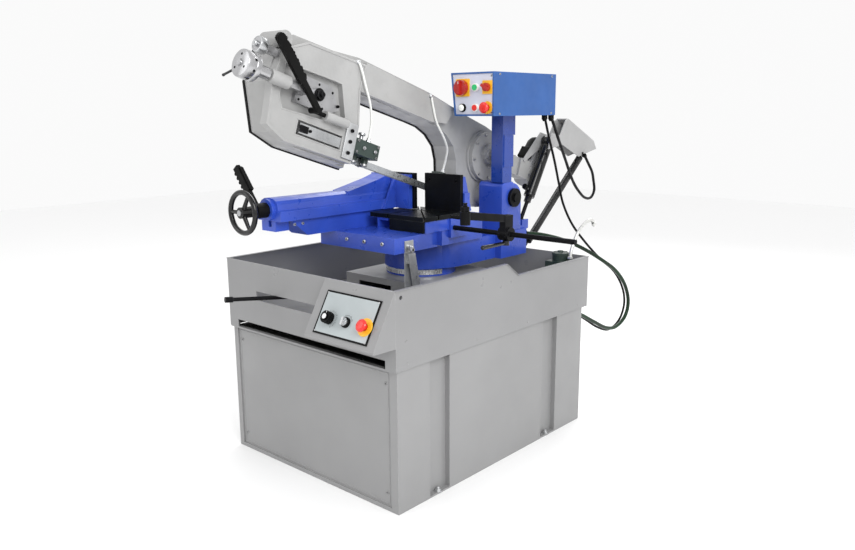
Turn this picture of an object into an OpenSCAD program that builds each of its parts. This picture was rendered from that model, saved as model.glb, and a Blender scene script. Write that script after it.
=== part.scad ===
// Mitre band saw for metal: a swivelling, pivoting bow on a sheet-metal cabinet.
// Origin: centre of the cabinet's footprint on the floor. +X is the operator's
// right, +Y is to the rear, +Z is up. Millimetres.

/* [Cabinet and tray] */
// Width of the cabinet
cab_w = 850; // [846:1:856]
// Depth of the cabinet
cab_d = 1082; // [1078:1:1090]
// Height of the cabinet below the tray
cab_h = 477; // [470:1:478]
// Height of the tray's rim above the floor
rim_z = 736; // [730:1:742]
// Height of the tray's floor
tray_floor_z = 560; // [555:1:562]
// Thickness of the folded sheet
sheet = 4; // [3:0.5:4]

/* [Turntable and vise] */
// Distance of the swivel axis behind the cabinet's centre
turn_y = 40; // [38:1:42]
// Radius of the turntable flange
turn_r = 134; // [130:1:136]
// Height of the table's top face
table_z = 893; // [892:1:894]
// Right-hand limit of the table
table_x1 = 185; // [180:1:186]
// Side position of the vise screw
vise_x = -170; // [-172:1:-169]
// Height of the vise screw
vise_z = 934; // [932:1:936]
// Radius of the handwheel
wheel_r = 77; // [70:1:77]

/* [Bow] */
// Angle by which the bow is raised in the stored pose
bow_raise = 17.6; // [17:0.1:18]
// Distance of the bow pivot behind the cabinet's centre
piv_y = 380; // [379:1:381]
// Height of the bow pivot
piv_z = 922; // [921:1:923]
// Radius of the band wheels
band_r = 150; // [148:1:151]
// Distance between the band wheels
band_span = 934; // [930:1:936]
// Width of the blade
blade_w = 27; // [20:1:27]

/* [Control box] */
// Width of the control box
box_w = 201.5; // [198:0.5:206]
// Depth of the control box
box_d = 407; // [400:1:412]
// Height of the control box
box_h = 158; // [154:1:160]

/* [Hidden] */
$fn = 64;

// Cabinet and tray
cab_x = cab_w / 2;
cab_y = cab_d / 2;
tray_x = cab_x + 7;
tray_y0 = -551;
tray_y1 = 569;
tray_z0 = 480;
slot_z1 = 510;
rear_rim_z = 686;
bay_y = [-340, 308];
bay_w = 100;
anchor_r = 7;
pedestal = [-200, 200, -170, 230];
pedestal_z = 655;
lever_z = 612;

// Sloped control housing on the front
house_x0 = 118;
nose_y = -648;
nose_z = 566;
panel_lean = atan2(tray_y0 - nose_y, rim_z - nose_z);
panel_x = 276;
panel_drop = 109;
panel_w = 244;
panel_h = 144;
knob_x = 213;
select_x = 285;
stop_x = 369;
knob_drop = 127;

// Turntable, bed and vise
flange_z1 = 682;
arm_z0 = 684;
arm_z1 = 779.5;
bed_z0 = 780;
bed_z1 = 835;
bed_x = [-206, 176];
bed_y = [-288, 200];
table_t = 16;
mitres = [45, 60];
table_y0 = -140;
jaw_y = 60;
jaw_t = 15;
jaw_top = 1031;
jaw_gap = 23;
slide_z0 = table_z + 2.4;
slide_y0 = -547;
slide_w = 124;
way_x = [vise_x - 46, vise_x + 46];
way_z1 = table_z + 2;
nut_y = [-290, -255];
screw_r = 10;
sleeve_r = 15.5;
hub_y0 = -644;
fit = 0.05;

// Length stop
stop_y = 15;
stop_z = 842;
stop_arm_x = 425;

// Hinge, post and box
hinge_x = [62, 190];
hinge_y0 = 308;
dome_r = 57;
shaft_r = 25;
post_x = [135, 190];
post_y = [308, 368];
hinge_top = 985;
box_x1 = 270;
box_x0 = box_x1 - box_w;
box_y0 = 140;
box_y1 = box_y0 + box_d;
box_z0 = 1243;
box_z1 = box_z0 + box_h;
skin = 3;
control_x = [125, 186, 240.5];
upper_z = 1346;
lower_z = 1273;

// Feed cylinder, between the arm's lug and the tail
cyl_x = 150;
cyl_low = [488, 808];
cyl_high = [685, 1132];
eye_bore = 12;
eye_pin = 6;
cyl_len = norm(cyl_high - cyl_low);
cyl_tilt = atan2(cyl_high[0] - cyl_low[0], cyl_high[1] - cyl_low[1]);

// Bow, in its own frame: y along the blade, z square to it, pivot at the origin
bow_x0 = -82;
bow_x1 = 58;
rear_x1 = 28;
axle_z = -(27 / 2 + 29) + band_r;
rear_c = [-30, axle_z];
front_c = [rear_c[0] - band_span, axle_z];
slant_y = -694;
knob_c = [76, 100];
blade_z = -56;
blade_t = 0.9;
motor_lean = 24;
motor_r = 55;
motor_c = [219.5, 128.4];
motor_x = 65;
tail_x = [122, 180];
// Row (y, z) given in the bow's own frame
function bow_yz(y, z) = [(y - piv_y) * cos(bow_raise) - (z - piv_z) * sin(bow_raise),
  (y - piv_y) * sin(bow_raise) + (z - piv_z) * cos(bow_raise)];
tail_eye = bow_yz(cyl_high[0], cyl_high[1]);
guide_x = [40, 56];
guide_z = [-29, 4];
head_y = [-762, -646];

// Return spring, between the arm's rear and the tail's shelf
spring_low = [175, 484, 702];
spring_high = [150, 1002, 1101];
spring_v = (spring_high - spring_low) / norm(spring_high - spring_low);
spring_pin = bow_yz(spring_high[1] + 4 * spring_v[1], spring_high[2] + 4 * spring_v[2]);

// Cable and hose routes
loop_route = [[262, 530, 1239], [258, 572, 1182], [240, 640, 1120], [222, 714, 1050],
  [208, 778, 985], [198, 830, 940], [196, 874, 905], [193, 920, 878], [190.5, 965, 868],
  [189, 998, 876], [189, 1016, 904.6], [189, 1006, 947], [189, 990, 987],
  [189, 951, 1030.6], [189, 916, 1068]];
supply_route = [[246, 508, 1240], [240, 550, 1160], [230, 612, 1060], [222, 664, 960],
  [218, 708, 870], [228, 770, 775], [262, 830, 690], [300, 900, 610], [326, 980, 545],
  [334, 1050, 460], [334, 1076, 380], [332, 1040, 310], [330, 950, 280],
  [328, 850, 310], [325, 740, 370], [318, 640, 425], [310, 543, 450]];
bundle_route = [[178, 483.5, 764], [200, 522, 760], [232, 590, 744], [268, 670, 716],
  [308, 760, 670], [340, 850, 615], [354, 940, 560], [360, 1020, 485], [362, 1060, 400],
  [360, 1040, 330], [358, 960, 296], [356, 870, 310], [352, 760, 362], [346, 650, 415],
  [340, 543.5, 440]];
front_hose_route = [[62.5, -826, 264], [69, -812, 242], [70, -780, 195], [64, -738, 145],
  [52, -706, 90], [42, -694, 27.5]];
rear_hose_route = [[62.4, -447, 272], [62.4, -432, 246], [62.4, -392, 190], [60, -335, 150],
  [46, -285, 118], [28, -260, 84], [18, -250, 56], [16, -250, 31]];
pipe_route = [[389, 500, 682.5], [389, 506, 710], [390, 524, 744], [391, 552, 782],
  [393, 590, 808], [395, 628, 822], [395, 654, 816], [395, 668, 796]];

// ---------- shared shapes ----------
module block(x, y, z) {
  translate([x[0], y[0], z[0]]) cube([x[1] - x[0], y[1] - y[0], z[1] - z[0]]);
}
module bar_x(x0, x1, y, z, r) {
  translate([x0, y, z]) rotate([0, 90, 0]) cylinder(h = x1 - x0, r = r);
}
module bar_y(y0, y1, x, z, r) {
  translate([x, y0, z]) rotate([-90, 0, 0]) cylinder(h = y1 - y0, r = r);
}
module bar_z(z0, z1, x, y, r) {
  translate([x, y, z0]) cylinder(h = z1 - z0, r = r);
}
// Outline drawn in (y, z), extruded from x0 to x1
module prism_x(x0, x1) {
  translate([x0, 0, 0]) rotate([90, 0, 90]) linear_extrude(x1 - x0) children();
}
// Outline drawn in (x, z), extruded from y0 to y1
module prism_y(y0, y1) {
  translate([0, y1, 0]) rotate([90, 0, 0]) linear_extrude(y1 - y0) children();
}
module in_bow() {
  translate([0, piv_y, piv_z]) rotate([-bow_raise, 0, 0]) children();
}
// Frame on the sloped panel: x to the right, y up the slope, z outwards
module on_panel(x, drop) {
  translate([x, tray_y0 - drop * sin(panel_lean), rim_z - drop * cos(panel_lean)])
    rotate([90 - panel_lean, 0, 0]) children();
}
// Frame on the front of the control box: z outwards
module on_box(x, z) {
  translate([x, box_y0, z]) rotate([90, 0, 0]) children();
}
// Frame along the feed cylinder, z from the low pin to the high one
module on_cylinder() {
  translate([cyl_x, cyl_low[0], cyl_low[1]]) rotate([-cyl_tilt, 0, 0]) children();
}
// Frame along the motor's axis, from the end of the worm housing
module on_motor() {
  translate([motor_x, motor_c[0], motor_c[1]]) rotate([-motor_lean, 0, 0]) children();
}
// Round tube swept along a route
function unit(v) = v / norm(v);
function heading(p, i) = unit(p[min(i + 1, len(p) - 1)] - p[max(i - 1, 0)]);
module sweep(route, r, sides, side_axis) {
  n = len(route);
  rings = [for (i = [0:n - 1]) let(t = heading(route, i), a = unit(cross(t, side_axis)),
      b = cross(t, a)) for (k = [0:sides - 1])
      route[i] + r * (cos(360 * k / sides) * a + sin(360 * k / sides) * b)];
  walls = [for (i = [0:n - 2]) for (k = [0:sides - 1]) let(m = (k + 1) % sides)
      [i * sides + k, (i + 1) * sides + k, (i + 1) * sides + m, i * sides + m]];
  first = [for (k = [0:sides - 1]) k];
  last = [for (k = [0:sides - 1]) n * sides - 1 - k];
  polyhedron(rings, concat([first, last], walls));
}
// Smooth route through the given points, with extra points between them
function blend_point(a, b, c, d, t) = 0.5 * (2 * b + (c - a) * t
  + (2 * a - 5 * b + 4 * c - d) * t * t + (3 * b - a - 3 * c + d) * t * t * t);
function smooth(p, steps) = [for (i = [0:len(p) - 2]) for (k = [0:steps - 1])
  blend_point(p[max(i - 1, 0)], p[i], p[i + 1], p[min(i + 2, len(p) - 1)], k / steps),
  p[len(p) - 1]];

// ---------- cabinet and tray ----------
module bays() {
  for (s = [-1, 1], y = bay_y)
    translate([s * cab_x, y, 0])
      block([-20, 20], [-bay_w / 2, bay_w / 2], [-1, cab_h + 1]);
}
module base_cabinet() {
  color("gainsboro") {
    difference() {
      block([-cab_x, cab_x], [-cab_y, cab_y], [0, cab_h]);
      block([-cab_x + sheet, cab_x - sheet], [-cab_y + sheet + 6, cab_y - sheet],
        [sheet, cab_h - sheet]);
      block([-cab_x + 60, cab_x - 60], [-cab_y + 60, cab_y - 60],
        [cab_h - 5, cab_h + 1]);
      block([-402, 394], [-cab_y - 1, -cab_y + 5], [14, cab_h - 1]);
      bays();
      for (s = [-1, 1], y = bay_y) bar_z(-1, 9, s * (cab_x - 9), y, anchor_r);
    }
    // Liner of each recess
    for (s = [-1, 1], y = bay_y) difference() {
      block(s > 0 ? [cab_x - 24, cab_x - 1] : [1 - cab_x, 24 - cab_x],
        [y - bay_w / 2 - 3, y + bay_w / 2 + 3], [3, cab_h - 3]);
      block(s > 0 ? [cab_x - 20, cab_x + 1] : [-cab_x - 1, 20 - cab_x],
        [y - bay_w / 2, y + bay_w / 2], [2, cab_h - 2]);
    }
    // Foot of each recess, with the anchor hole
    for (s = [-1, 1], y = bay_y) difference() {
      block(s > 0 ? [cab_x - 20, cab_x] : [-cab_x, 20 - cab_x],
        [y - bay_w / 2, y + bay_w / 2], [0, 6]);
      bar_z(-1, 9, s * (cab_x - 9), y, anchor_r);
    }
  }
}
module tray_side(s) {
  x0 = s > 0 ? tray_x - sheet : -tray_x;
  prism_x(x0, x0 + sheet)
    polygon([[tray_y0, tray_z0], [tray_y1, tray_z0], [tray_y1, rear_rim_z],
      [82, rear_rim_z], [13, rim_z], [tray_y0, rim_z]]);
}
module chip_tray() {
  inner = tray_x - sheet;
  color("silver") difference() {
    union() {
      tray_side(1);
      tray_side(-1);
      block([-inner, inner], [tray_y0, tray_y0 + sheet], [tray_z0, rim_z]);
      block([-inner, inner], [tray_y1 - sheet, tray_y1], [tray_z0, rear_rim_z]);
      block([-inner, inner], [tray_y0, tray_y1], [tray_floor_z - sheet, tray_floor_z]);
      difference() {
        block([pedestal[0], pedestal[1]], [pedestal[2], pedestal[3]],
          [tray_floor_z, pedestal_z]);
        block([pedestal[0] + sheet, pedestal[1] - sheet],
          [pedestal[2] + sheet, pedestal[3] - sheet],
          [tray_floor_z, pedestal_z - 6]);
      }
      for (s = [-1, 1]) block(s > 0 ? [cab_x - 2, inner] : [-inner, -cab_x + 2],
        [-cab_y + 1, cab_y - 1], [tray_z0, cab_h + 5]);
      block([-inner, inner], [cab_y - 30, tray_y1], [tray_z0, tray_z0 + 4]);
      block([-inner, inner], [tray_y0, -cab_y + 20], [cab_h, tray_z0 + 2]);
    }
    block([-382, 385], [tray_y0 - 1, tray_y0 + sheet + 1], [482, slot_z1]);
    block([-262, 62], [tray_y0 - 1, tray_y0 + sheet + 1], [600, 634]);
    block([-130, 40], [pedestal[2] - 1, pedestal[2] + sheet + 1], [596, 632]);
    bar_z(pedestal_z - 8, pedestal_z + 1, 0, turn_y, 13);
    bar_x(tray_x - sheet - 1, tray_x + 1, -526, 712, 7);
  }
}
module housing_outline(inset) {
  polygon([[tray_y0, rim_z - inset * 2], [nose_y + inset, nose_z], [nose_y + 3 + inset, 558 + inset],
    [tray_y0, 556 + inset]]);
}
module control_housing() {
  color("silver") difference() {
    prism_x(house_x0, tray_x) housing_outline(0);
    prism_x(house_x0 + sheet, tray_x - sheet) housing_outline(sheet);
    for (x = [knob_x, select_x, stop_x]) on_panel(x, knob_drop)
      translate([0, 0, -14]) cylinder(h = 16, r = 11);
  }
}
module panel_plate() {
  color("black") on_panel(panel_x, panel_drop) difference() {
    translate([-panel_w / 2, -panel_h / 2, 0]) cube([panel_w, panel_h, 3]);
    for (x = [knob_x, select_x, stop_x])
      translate([x - panel_x, panel_drop - knob_drop, -1]) cylinder(h = 5, r = 11);
  }
}
module panel_bezels() {
  color("silver") on_panel(knob_x, knob_drop) translate([0, 0, 3]) ring(15, 7, 5);
  color("black") on_panel(select_x, knob_drop) translate([0, 0, 3]) ring(17, 12, 9);
  color("gold") on_panel(stop_x, knob_drop) translate([0, 0, 3]) ring(29, 12, 3);
}
module ring(r, bore, h) {
  difference() {
    cylinder(h = h, r = r);
    translate([0, 0, -1]) cylinder(h = h + 2, r = bore);
  }
}
module feed_valve_knob() {
  color([0.12, 0.12, 0.13]) on_panel(knob_x, knob_drop) {
    translate([0, 0, 8.3]) difference() {
      cylinder(h = 22, r = 20);
      for (a = [0:20:340]) rotate([0, 0, a]) translate([20.6, 0, -1]) cylinder(h = 24, r = 1.8);
    }
    translate([0, 0, 30.3]) cylinder(h = 4, r = 12);
    translate([0, 0, 1]) cylinder(h = 7.3, r = 6.6);
  }
}
module mode_selector() {
  color("silver") on_panel(select_x, knob_drop) {
    translate([0, 0, 1]) cylinder(h = 13, r = 10.6);
    translate([0, 0, 12.4]) cylinder(h = 4.6, r = 13);
    translate([-4, -12, 17]) cube([8, 24, 9]);
  }
}
module mushroom(cap_r) {
  translate([0, 0, -8]) cylinder(h = 20, r = 10);
  translate([0, 0, 12]) cylinder(h = 5, r1 = 12, r2 = cap_r);
  translate([0, 0, 17]) cylinder(h = 4, r = cap_r);
  translate([0, 0, 21]) rotate_extrude() polygon([[0, 0], [cap_r, 0], [cap_r - 3, 3],
    [cap_r - 8, 5], [0, 6]]);
}
module panel_estop() {
  color("red") on_panel(stop_x, knob_drop) translate([0, 0, 4]) mushroom(20);
}

// ---------- turntable, bed and vise ----------
module turntable_base() {
  color("royalblue") {
    difference() {
      bar_z(pedestal_z, flange_z1, 0, turn_y, turn_r);
      difference() {
        bar_z(pedestal_z + 6, flange_z1 - 1, 0, turn_y, turn_r + 1);
        bar_z(pedestal_z + 5, flange_z1, 0, turn_y, turn_r - 2);
      }
    }
    bar_z(flange_z1, bed_z0, 0, turn_y, 30);
    bar_z(586, pedestal_z, 0, turn_y, 12.5);
    bar_z(578, 586, 0, turn_y, 20);
  }
}
module angle_scale() {
  color("silver") difference() {
    bar_z(pedestal_z + 7, flange_z1 - 2, 0, turn_y, turn_r + 0.6);
    bar_z(pedestal_z + 6, flange_z1 - 1, 0, turn_y, turn_r - 1.9);
    translate([0, turn_y, pedestal_z]) linear_extrude(40)
      polygon([[0, 0], [300, -60], [300, 300], [-300, 300], [-300, -60]]);
  }
}
module vise_bed() {
  color("royalblue") difference() {
    union() {
      block(bed_x, bed_y, [bed_z0, bed_z1]);
      // Table support, right of the way
      block([-60, 181], [table_y0 + 6, 100], [bed_z1, table_z - table_t]);
      block([40, 176], [100, bed_y[1]], [bed_z1, table_z - table_t]);
      // Way under the vise slide
      prism_x(way_x[0], way_x[1]) polygon([[20, bed_z1], [20, way_z1], [-490, way_z1],
        [-417, bed_z1]]);
      block([way_x[0], way_x[1] - 16], [-545, -488], [way_z1 - 36, way_z1 - 1]);
      // Nut housing for the vise screw
      block([vise_x - 18, vise_x + 18], nut_y, [way_z1 - 1, vise_z + 17]);
      // Boss for the stop rod
      block([176, 190], [-4, 92], [806, table_z - table_t]);
      // Stop wedge on the side
      prism_x(176, 200) polygon([[-66, 786], [-28, 786], [-28, 806], [-66, 838]]);
    }
    bar_y(nut_y[0] - 1, nut_y[1] + 1, vise_x, vise_z, screw_r + fit);
    // Room under the table for chips
    block([-50, 12], [table_y0 - 1, table_y0 + 60], [bed_z1 + 1, table_z - table_t - 10]);
    // Groove below the blade
    block([-5, 5], [-400, 320], [bed_z1 + 20, table_z]);
    bar_x(160, 191, stop_y, stop_z, 9);
    // Keel groove of the slide
    block([vise_x - 8, vise_x + 8], [-600, 30], [way_z1 - 20, way_z1 + 1]);
  }
}
module fixed_jaw() {
  color("royalblue") prism_x(36, 178) polygon([[jaw_y + jaw_t, table_z],
    [jaw_y + jaw_t, jaw_top - 8], [jaw_y + jaw_t + 18, jaw_top - 8], [130, table_z]]);
  color("royalblue") block([178, 190], [jaw_y + jaw_t, 105], [table_z, table_z + 70]);
}
module fixed_jaw_plate() {
  color([0.1, 0.1, 0.11]) difference() {
    block([5, 182], [jaw_y, jaw_y + jaw_t], [table_z + 0.5, jaw_top]);
    for (x = [30, 160]) bar_y(jaw_y - 1, jaw_y + 6, x, jaw_top - 24, 7);
  }
}
// Groove along the blade's line when the bow is swivelled by a
module groove(a) {
  translate([0, turn_y, table_z - 14]) rotate([0, 0, a]) translate([-3, -300, 0])
    cube([6, 500, 20]);
}
module table_plates() {
  color([0.12, 0.13, 0.13]) {
    difference() {
      block([4, table_x1], [table_y0, 100], [table_z - table_t, table_z]);
      for (a = mitres) groove(a);
    }
    difference() {
      block([way_x[1] + 32, -4], [table_y0, 100], [table_z - table_t, table_z]);
      for (a = mitres) groove(a);
    }
    block([12, table_x1 - 2], [table_y0 - 4, table_y0], [bed_z1 + 2, table_z - table_t]);
  }
}
module bed_bracket() {
  color("gainsboro") {
    difference() {
      block([176, 180], [-240, -196], [pedestal_z - 95, 822]);
      bar_x(175, 181, -218, 800, 6);
    }
    bar_x(180, 188, -218, 800, 11);
    prism_x(188, 192) polygon([[-236, 778], [-200, 778], [-171, 638], [-171, tray_floor_z],
      [-207, tray_floor_z], [-207, 638]]);
    block([180, 188], [-232, -204], [742, 776]);
  }
}
module stop_rod() {
  color([0.08, 0.08, 0.08]) bar_x(160.5, 705, stop_y, stop_z, 8.95);
}
module stop_arm() {
  color([0.08, 0.08, 0.08]) {
    difference() {
      union() {
        bar_x(stop_arm_x - 22, stop_arm_x + 22, stop_y, stop_z, 24);
        block([stop_arm_x - 13, stop_arm_x + 13], [stop_y - 22, stop_y + 22],
          [stop_z, stop_z + 66]);
        translate([stop_arm_x - 11, stop_y + 22, stop_z + 38]) rotate([-8, 0, 0])
          translate([0, -250, 0]) cube([22, 250, 26]);
      }
      bar_x(stop_arm_x - 30, stop_arm_x + 30, stop_y, stop_z, 9.02);
    }
    bar_z(stop_z + 56, stop_z + 100, stop_arm_x, stop_y - 226, 17);
  }
  color("silver") {
    bar_z(stop_z + 100, stop_z + 116, stop_arm_x, stop_y - 226, 7);
    bar_x(stop_arm_x - 60, stop_arm_x - 16, stop_y - 226, stop_z + 78, 6);
  }
}
module stop_clamp_lever() {
  color([0.08, 0.08, 0.08]) {
    bar_z(stop_z - 40, stop_z - 24.4, stop_arm_x, stop_y, 12);
    translate([stop_arm_x, stop_y - 11, stop_z - 32]) rotate([90, 0, 0])
      cylinder(h = 120, r1 = 6, r2 = 8);
    translate([stop_arm_x, stop_y - 131, stop_z - 32]) sphere(r = 8);
  }
}
module coolant_pump() {
  color("darkslategray") {
    block([300, 400], [455, 545], [tray_floor_z, 668]);
    bar_z(668, 692, 343, 500, 32);
    bar_z(668, 681, 389, 500, 10);
  }
  color("lightgray") sweep(smooth(pipe_route, 2), 6.5, 12, [1, 0, 0]);
}
module slide_section(arch) {
  w = slide_w / 2;
  polygon([[-w, slide_z0], [w, slide_z0], [w, slide_z0 + 34], [w - 12, slide_z0 + 38],
    [w - 14, slide_z0 + 58], [w - 22, slide_z0 + 70], [w - 40, slide_z0 + arch - 2],
    [0, slide_z0 + arch], [40 - w, slide_z0 + arch - 2], [22 - w, slide_z0 + 70],
    [14 - w, slide_z0 + 58], [12 - w, slide_z0 + 38], [-w, slide_z0 + 34]]);
}
module vise_slide() {
  color("royalblue") difference() {
    union() {
      translate([vise_x, 0, 0]) prism_y(slide_y0, 22) slide_section(80);
      // Rise to the moving jaw
      prism_x(vise_x - 44, vise_x + 44) polygon([[-215, slide_z0 + 78], [-150, slide_z0 + 92],
        [-60, slide_z0 + 112], [-10, slide_z0 + 127], [22, slide_z0 + 128],
        [22, slide_z0 + 60], [-215, slide_z0 + 60]]);
      block([vise_x - 60, -26], [4, 22], [slide_z0, jaw_top - 6]);
      prism_x(vise_x + 60, vise_x + 72) polygon([[-60, slide_z0], [4, slide_z0],
        [4, jaw_top - 20]]);
      bar_y(slide_y0 - 14, slide_y0, vise_x, vise_z, 38);
      // Sleeve that carries the quick clamp lever
      bar_y(-600, slide_y0 - 14, vise_x, vise_z, sleeve_r);
    }
    // Cavity over the nut housing, open below
    block([vise_x - 20, vise_x + 20], [-320, -8], [slide_z0 - 1, vise_z + 20]);
    bar_y(-601, -9, vise_x, vise_z, screw_r + 2);
  }
  color("royalblue") for (y = [-520, -350])
    block([vise_x - 7.5, vise_x + 7.5], [y, y + 20], [way_z1 - 18, slide_z0]);
}
module moving_jaw_plate() {
  color([0.1, 0.1, 0.11]) block([-229, -14], [22, jaw_y - jaw_gap],
    [slide_z0, jaw_top]);
}
module quick_clamp_lever() {
  color([0.07, 0.07, 0.07]) difference() {
    union() {
      bar_y(-606, slide_y0 - 14.4, vise_x, vise_z, 26);
      translate([vise_x, -592, vise_z]) rotate([0, -38, 0]) {
        translate([-11, -7, 20]) cube([22, 14, 62]);
        translate([-13, -7, 82]) cube([26, 14, 100]);
        for (k = [0:4]) translate([-13, -7, 90 + 18 * k]) rotate([-90, 0, 0])
          cylinder(h = 14, r = 6);
      }
    }
    bar_y(-607, slide_y0, vise_x, vise_z, sleeve_r + fit);
  }
}
module handwheel() {
  color([0.07, 0.07, 0.07]) difference() {
    union() {
      translate([vise_x, hub_y0 - 10, vise_z]) rotate([90, 0, 0]) rotate_extrude()
        translate([wheel_r - 9, 0]) circle(r = 9, $fn = 32);
      bar_y(hub_y0 - 22, hub_y0 + 37.6, vise_x, vise_z, 19);
      for (a = [30, 150, 270]) translate([vise_x, hub_y0 - 10, vise_z])
        rotate([0, a, 0]) translate([0, 0, 14]) cylinder(h = wheel_r - 26, r1 = 8, r2 = 6);
    }
    bar_y(hub_y0 - 23, hub_y0 + 40, vise_x, vise_z, screw_r);
  }
}
module vise_screw() {
  color("silver") bar_y(hub_y0 - 26, -14, vise_x, vise_z, screw_r);
}
module swivel_lock_lever() {
  a = 15.6;
  color([0.07, 0.07, 0.07]) translate([0, turn_y, lever_z]) {
    difference() {
      translate([0, 0, -18]) cylinder(h = 40, r = 30);
      translate([0, 0, -19]) cylinder(h = 42, r = 12.55);
    }
    rotate([0, 0, -a]) {
      translate([0, -28, 0]) rotate([90, 0, 0]) cylinder(h = 442, r = 7);
      translate([0, -468, 0]) sphere(r = 9);
      translate([0, -468, 0]) rotate([84.9, 0, 0]) cylinder(h = 292, r = 6.9);
      translate([0, -468, 0]) rotate([84.9, 0, 0]) translate([0, 0, 292]) cylinder(h = 26, r = 10);
    }
  }
}

// ---------- swivelling arm, hinge, post and box ----------
module swivel_arm() {
  color("royalblue") difference() {
    union() {
      bar_z(arm_z0, arm_z1, 0, turn_y, 140);
      bar_z(arm_z0, arm_z1, 38, turn_y + 40, 122);
      block([-70, 160], [turn_y + 40, 320], [arm_z0, arm_z1]);
      block([-40, 190], [305, 479], [arm_z0, 788]);
      // Lug for the feed cylinder
      block([cyl_x - 30, cyl_x - 20], [462, 504], [784, 822]);
      block([cyl_x + 20, cyl_x + 30], [462, 504], [784, 822]);
      block([cyl_x - 30, cyl_x + 30], [437, 468], [780, 800]);
      bar_x(cyl_x - 20, cyl_x + 20, cyl_low[0], cyl_low[1], 7);
    }
    bar_z(arm_z0 - 1, arm_z1 + 1, 0, turn_y, 30 + fit);
  }
}
module hinge_casting() {
  color("royalblue") difference() {
    union() {
      block(hinge_x, [hinge_y0, piv_y], [788, hinge_top]);
      block(hinge_x, [hinge_y0, piv_y + dome_r], [788, piv_z]);
      bar_x(hinge_x[0], hinge_x[1], piv_y, piv_z, dome_r);
      block([-30, hinge_x[0]], [hinge_y0 + 10, 430], [788, 800]);
    }
    bar_x(hinge_x[0] - 1, hinge_x[1] + 1, piv_y, piv_z, shaft_r + fit);
    translate([hinge_x[0], hinge_y0, 788]) cube([14, 14, 300]);
  }
}
module post() {
  color("royalblue") {
    difference() {
      block(post_x, post_y, [hinge_top, box_z0]);
      block([post_x[0] + 4, post_x[1] - 4], [post_y[0] + 4, post_y[1] - 4],
        [hinge_top + 4, box_z0 - 4]);
    }
    block([post_x[1], post_x[1] + 3], [post_y[0] + 6, post_y[1] + 6], [1045, 1168]);
    block([post_x[0] + 12, post_x[1] - 4], [post_y[1], post_y[1] + 26], [1168, box_z0]);
  }
}
module box_outline(inset) {
  polygon([[box_x0 + inset, box_z1 - inset], [box_x1 - inset, box_z1 - inset],
    [box_x1 - inset, box_z0 + inset], [box_x0 + 18 + inset, box_z0 + inset]]);
}
module control_box() {
  color("royalblue") difference() {
    prism_y(box_y0, box_y1) box_outline(0);
    prism_y(box_y0 + 9, box_y1 - skin) box_outline(skin);
    prism_y(box_y0 - 1, box_y0 + 6) box_outline(6);
    prism_y(box_y0 - 1, box_y0 + 10) box_outline(12);
  }
}
module box_panel() {
  color("whitesmoke") difference() {
    prism_y(box_y0 + 3, box_y0 + 6) box_outline(6.2);
    for (x = control_x, z = [upper_z, lower_z]) bar_y(box_y0, box_y0 + 8, x, z, 11);
  }
}
module on_box_panel(x, z) {
  translate([0, 3, 0]) on_box(x, z) children();
}
module box_bezels() {
  color("gold") on_box_panel(control_x[0], upper_z) difference() {
    translate([-32, -32, 0]) cube([64, 64, 4]);
    translate([0, 0, -1]) cylinder(h = 8, r = 12);
  }
  color("gold") on_box_panel(control_x[2], upper_z) difference() {
    translate([-23, -24, 0]) cube([46, 48, 4]);
    translate([0, 0, -1]) cylinder(h = 8, r = 12);
  }
  color("white") for (z = [upper_z, lower_z]) on_box_panel(control_x[1], z) ring(15, 11, 9);
  color("gold") on_box_panel(control_x[2], lower_z) ring(23, 12, 4);
  color("black") on_box_panel(control_x[0], lower_z) {
    cylinder(h = 11, r = 15);
    translate([0, 0, 11]) cylinder(h = 5, r1 = 12.5, r2 = 9);
  }
}
module main_switch() {
  color("firebrick") on_box_panel(control_x[0], upper_z) {
    translate([0, 0, -2]) cylinder(h = 8, r = 11);
    translate([0, 0, 4.4]) cylinder(h = 18, r = 28);
    translate([-6, -24, 20]) cube([12, 48, 10.4]);
  }
}
module speed_selector() {
  color("red") on_box_panel(control_x[2], upper_z) {
    translate([0, 0, -2]) cylinder(h = 8, r = 11);
    translate([0, 0, 4.4]) cylinder(h = 12, r = 15);
    rotate([0, 0, 60]) translate([-5, -18, 12]) cube([10, 36, 12.4]);
  }
}
module push_cap() {
  translate([0, 0, -3]) cylinder(h = 15, r = 10.5);
}
module start_button() {
  color("limegreen") on_box_panel(control_x[1], upper_z) push_cap();
}
module stop_button() {
  color("red") on_box_panel(control_x[1], lower_z) push_cap();
}
module box_estop() {
  color("red") on_box_panel(control_x[2], lower_z) translate([0, 0, 5]) mushroom(20);
}

// ---------- feed cylinder and spring ----------
module cylinder_rod() {
  color("gray") on_cylinder() difference() {
    union() {
      rotate([0, 90, 0]) translate([0, 0, -18]) cylinder(h = 36, r = 15);
      translate([0, 0, 12]) cylinder(h = 250, r = 8);
    }
    rotate([0, 90, 0]) translate([0, 0, -20]) cylinder(h = 40, r = 7 + fit);
  }
}
module cylinder_body() {
  color([0.06, 0.06, 0.06]) on_cylinder() {
    difference() {
      union() {
        translate([0, 0, 118]) cylinder(h = cyl_len - 138, r = 24);
        translate([0, 0, 92]) cylinder(h = 26, r = 14);
      }
      translate([0, 0, 91]) cylinder(h = cyl_len - 130, r = 8 + fit);
    }
    translate([0, 0, cyl_len]) rotate([0, 90, 0]) difference() {
      translate([0, 0, -20]) cylinder(h = 40, r = 24);
      translate([0, 0, -21]) cylinder(h = 42, r = eye_bore);
    }
  }
}
module return_spring() {
  reach = norm(spring_high - spring_low);
  color([0.06, 0.06, 0.06]) translate(spring_low)
    rotate([0, acos(spring_v[2]), atan2(spring_v[1], spring_v[0])]) {
      cylinder(h = 40, r = 5);
      translate([0, 0, 40]) cylinder(h = reach - 120, r = 16);
      translate([0, 0, reach - 80]) cylinder(h = 79.5, r = 5);
    }
}

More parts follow.
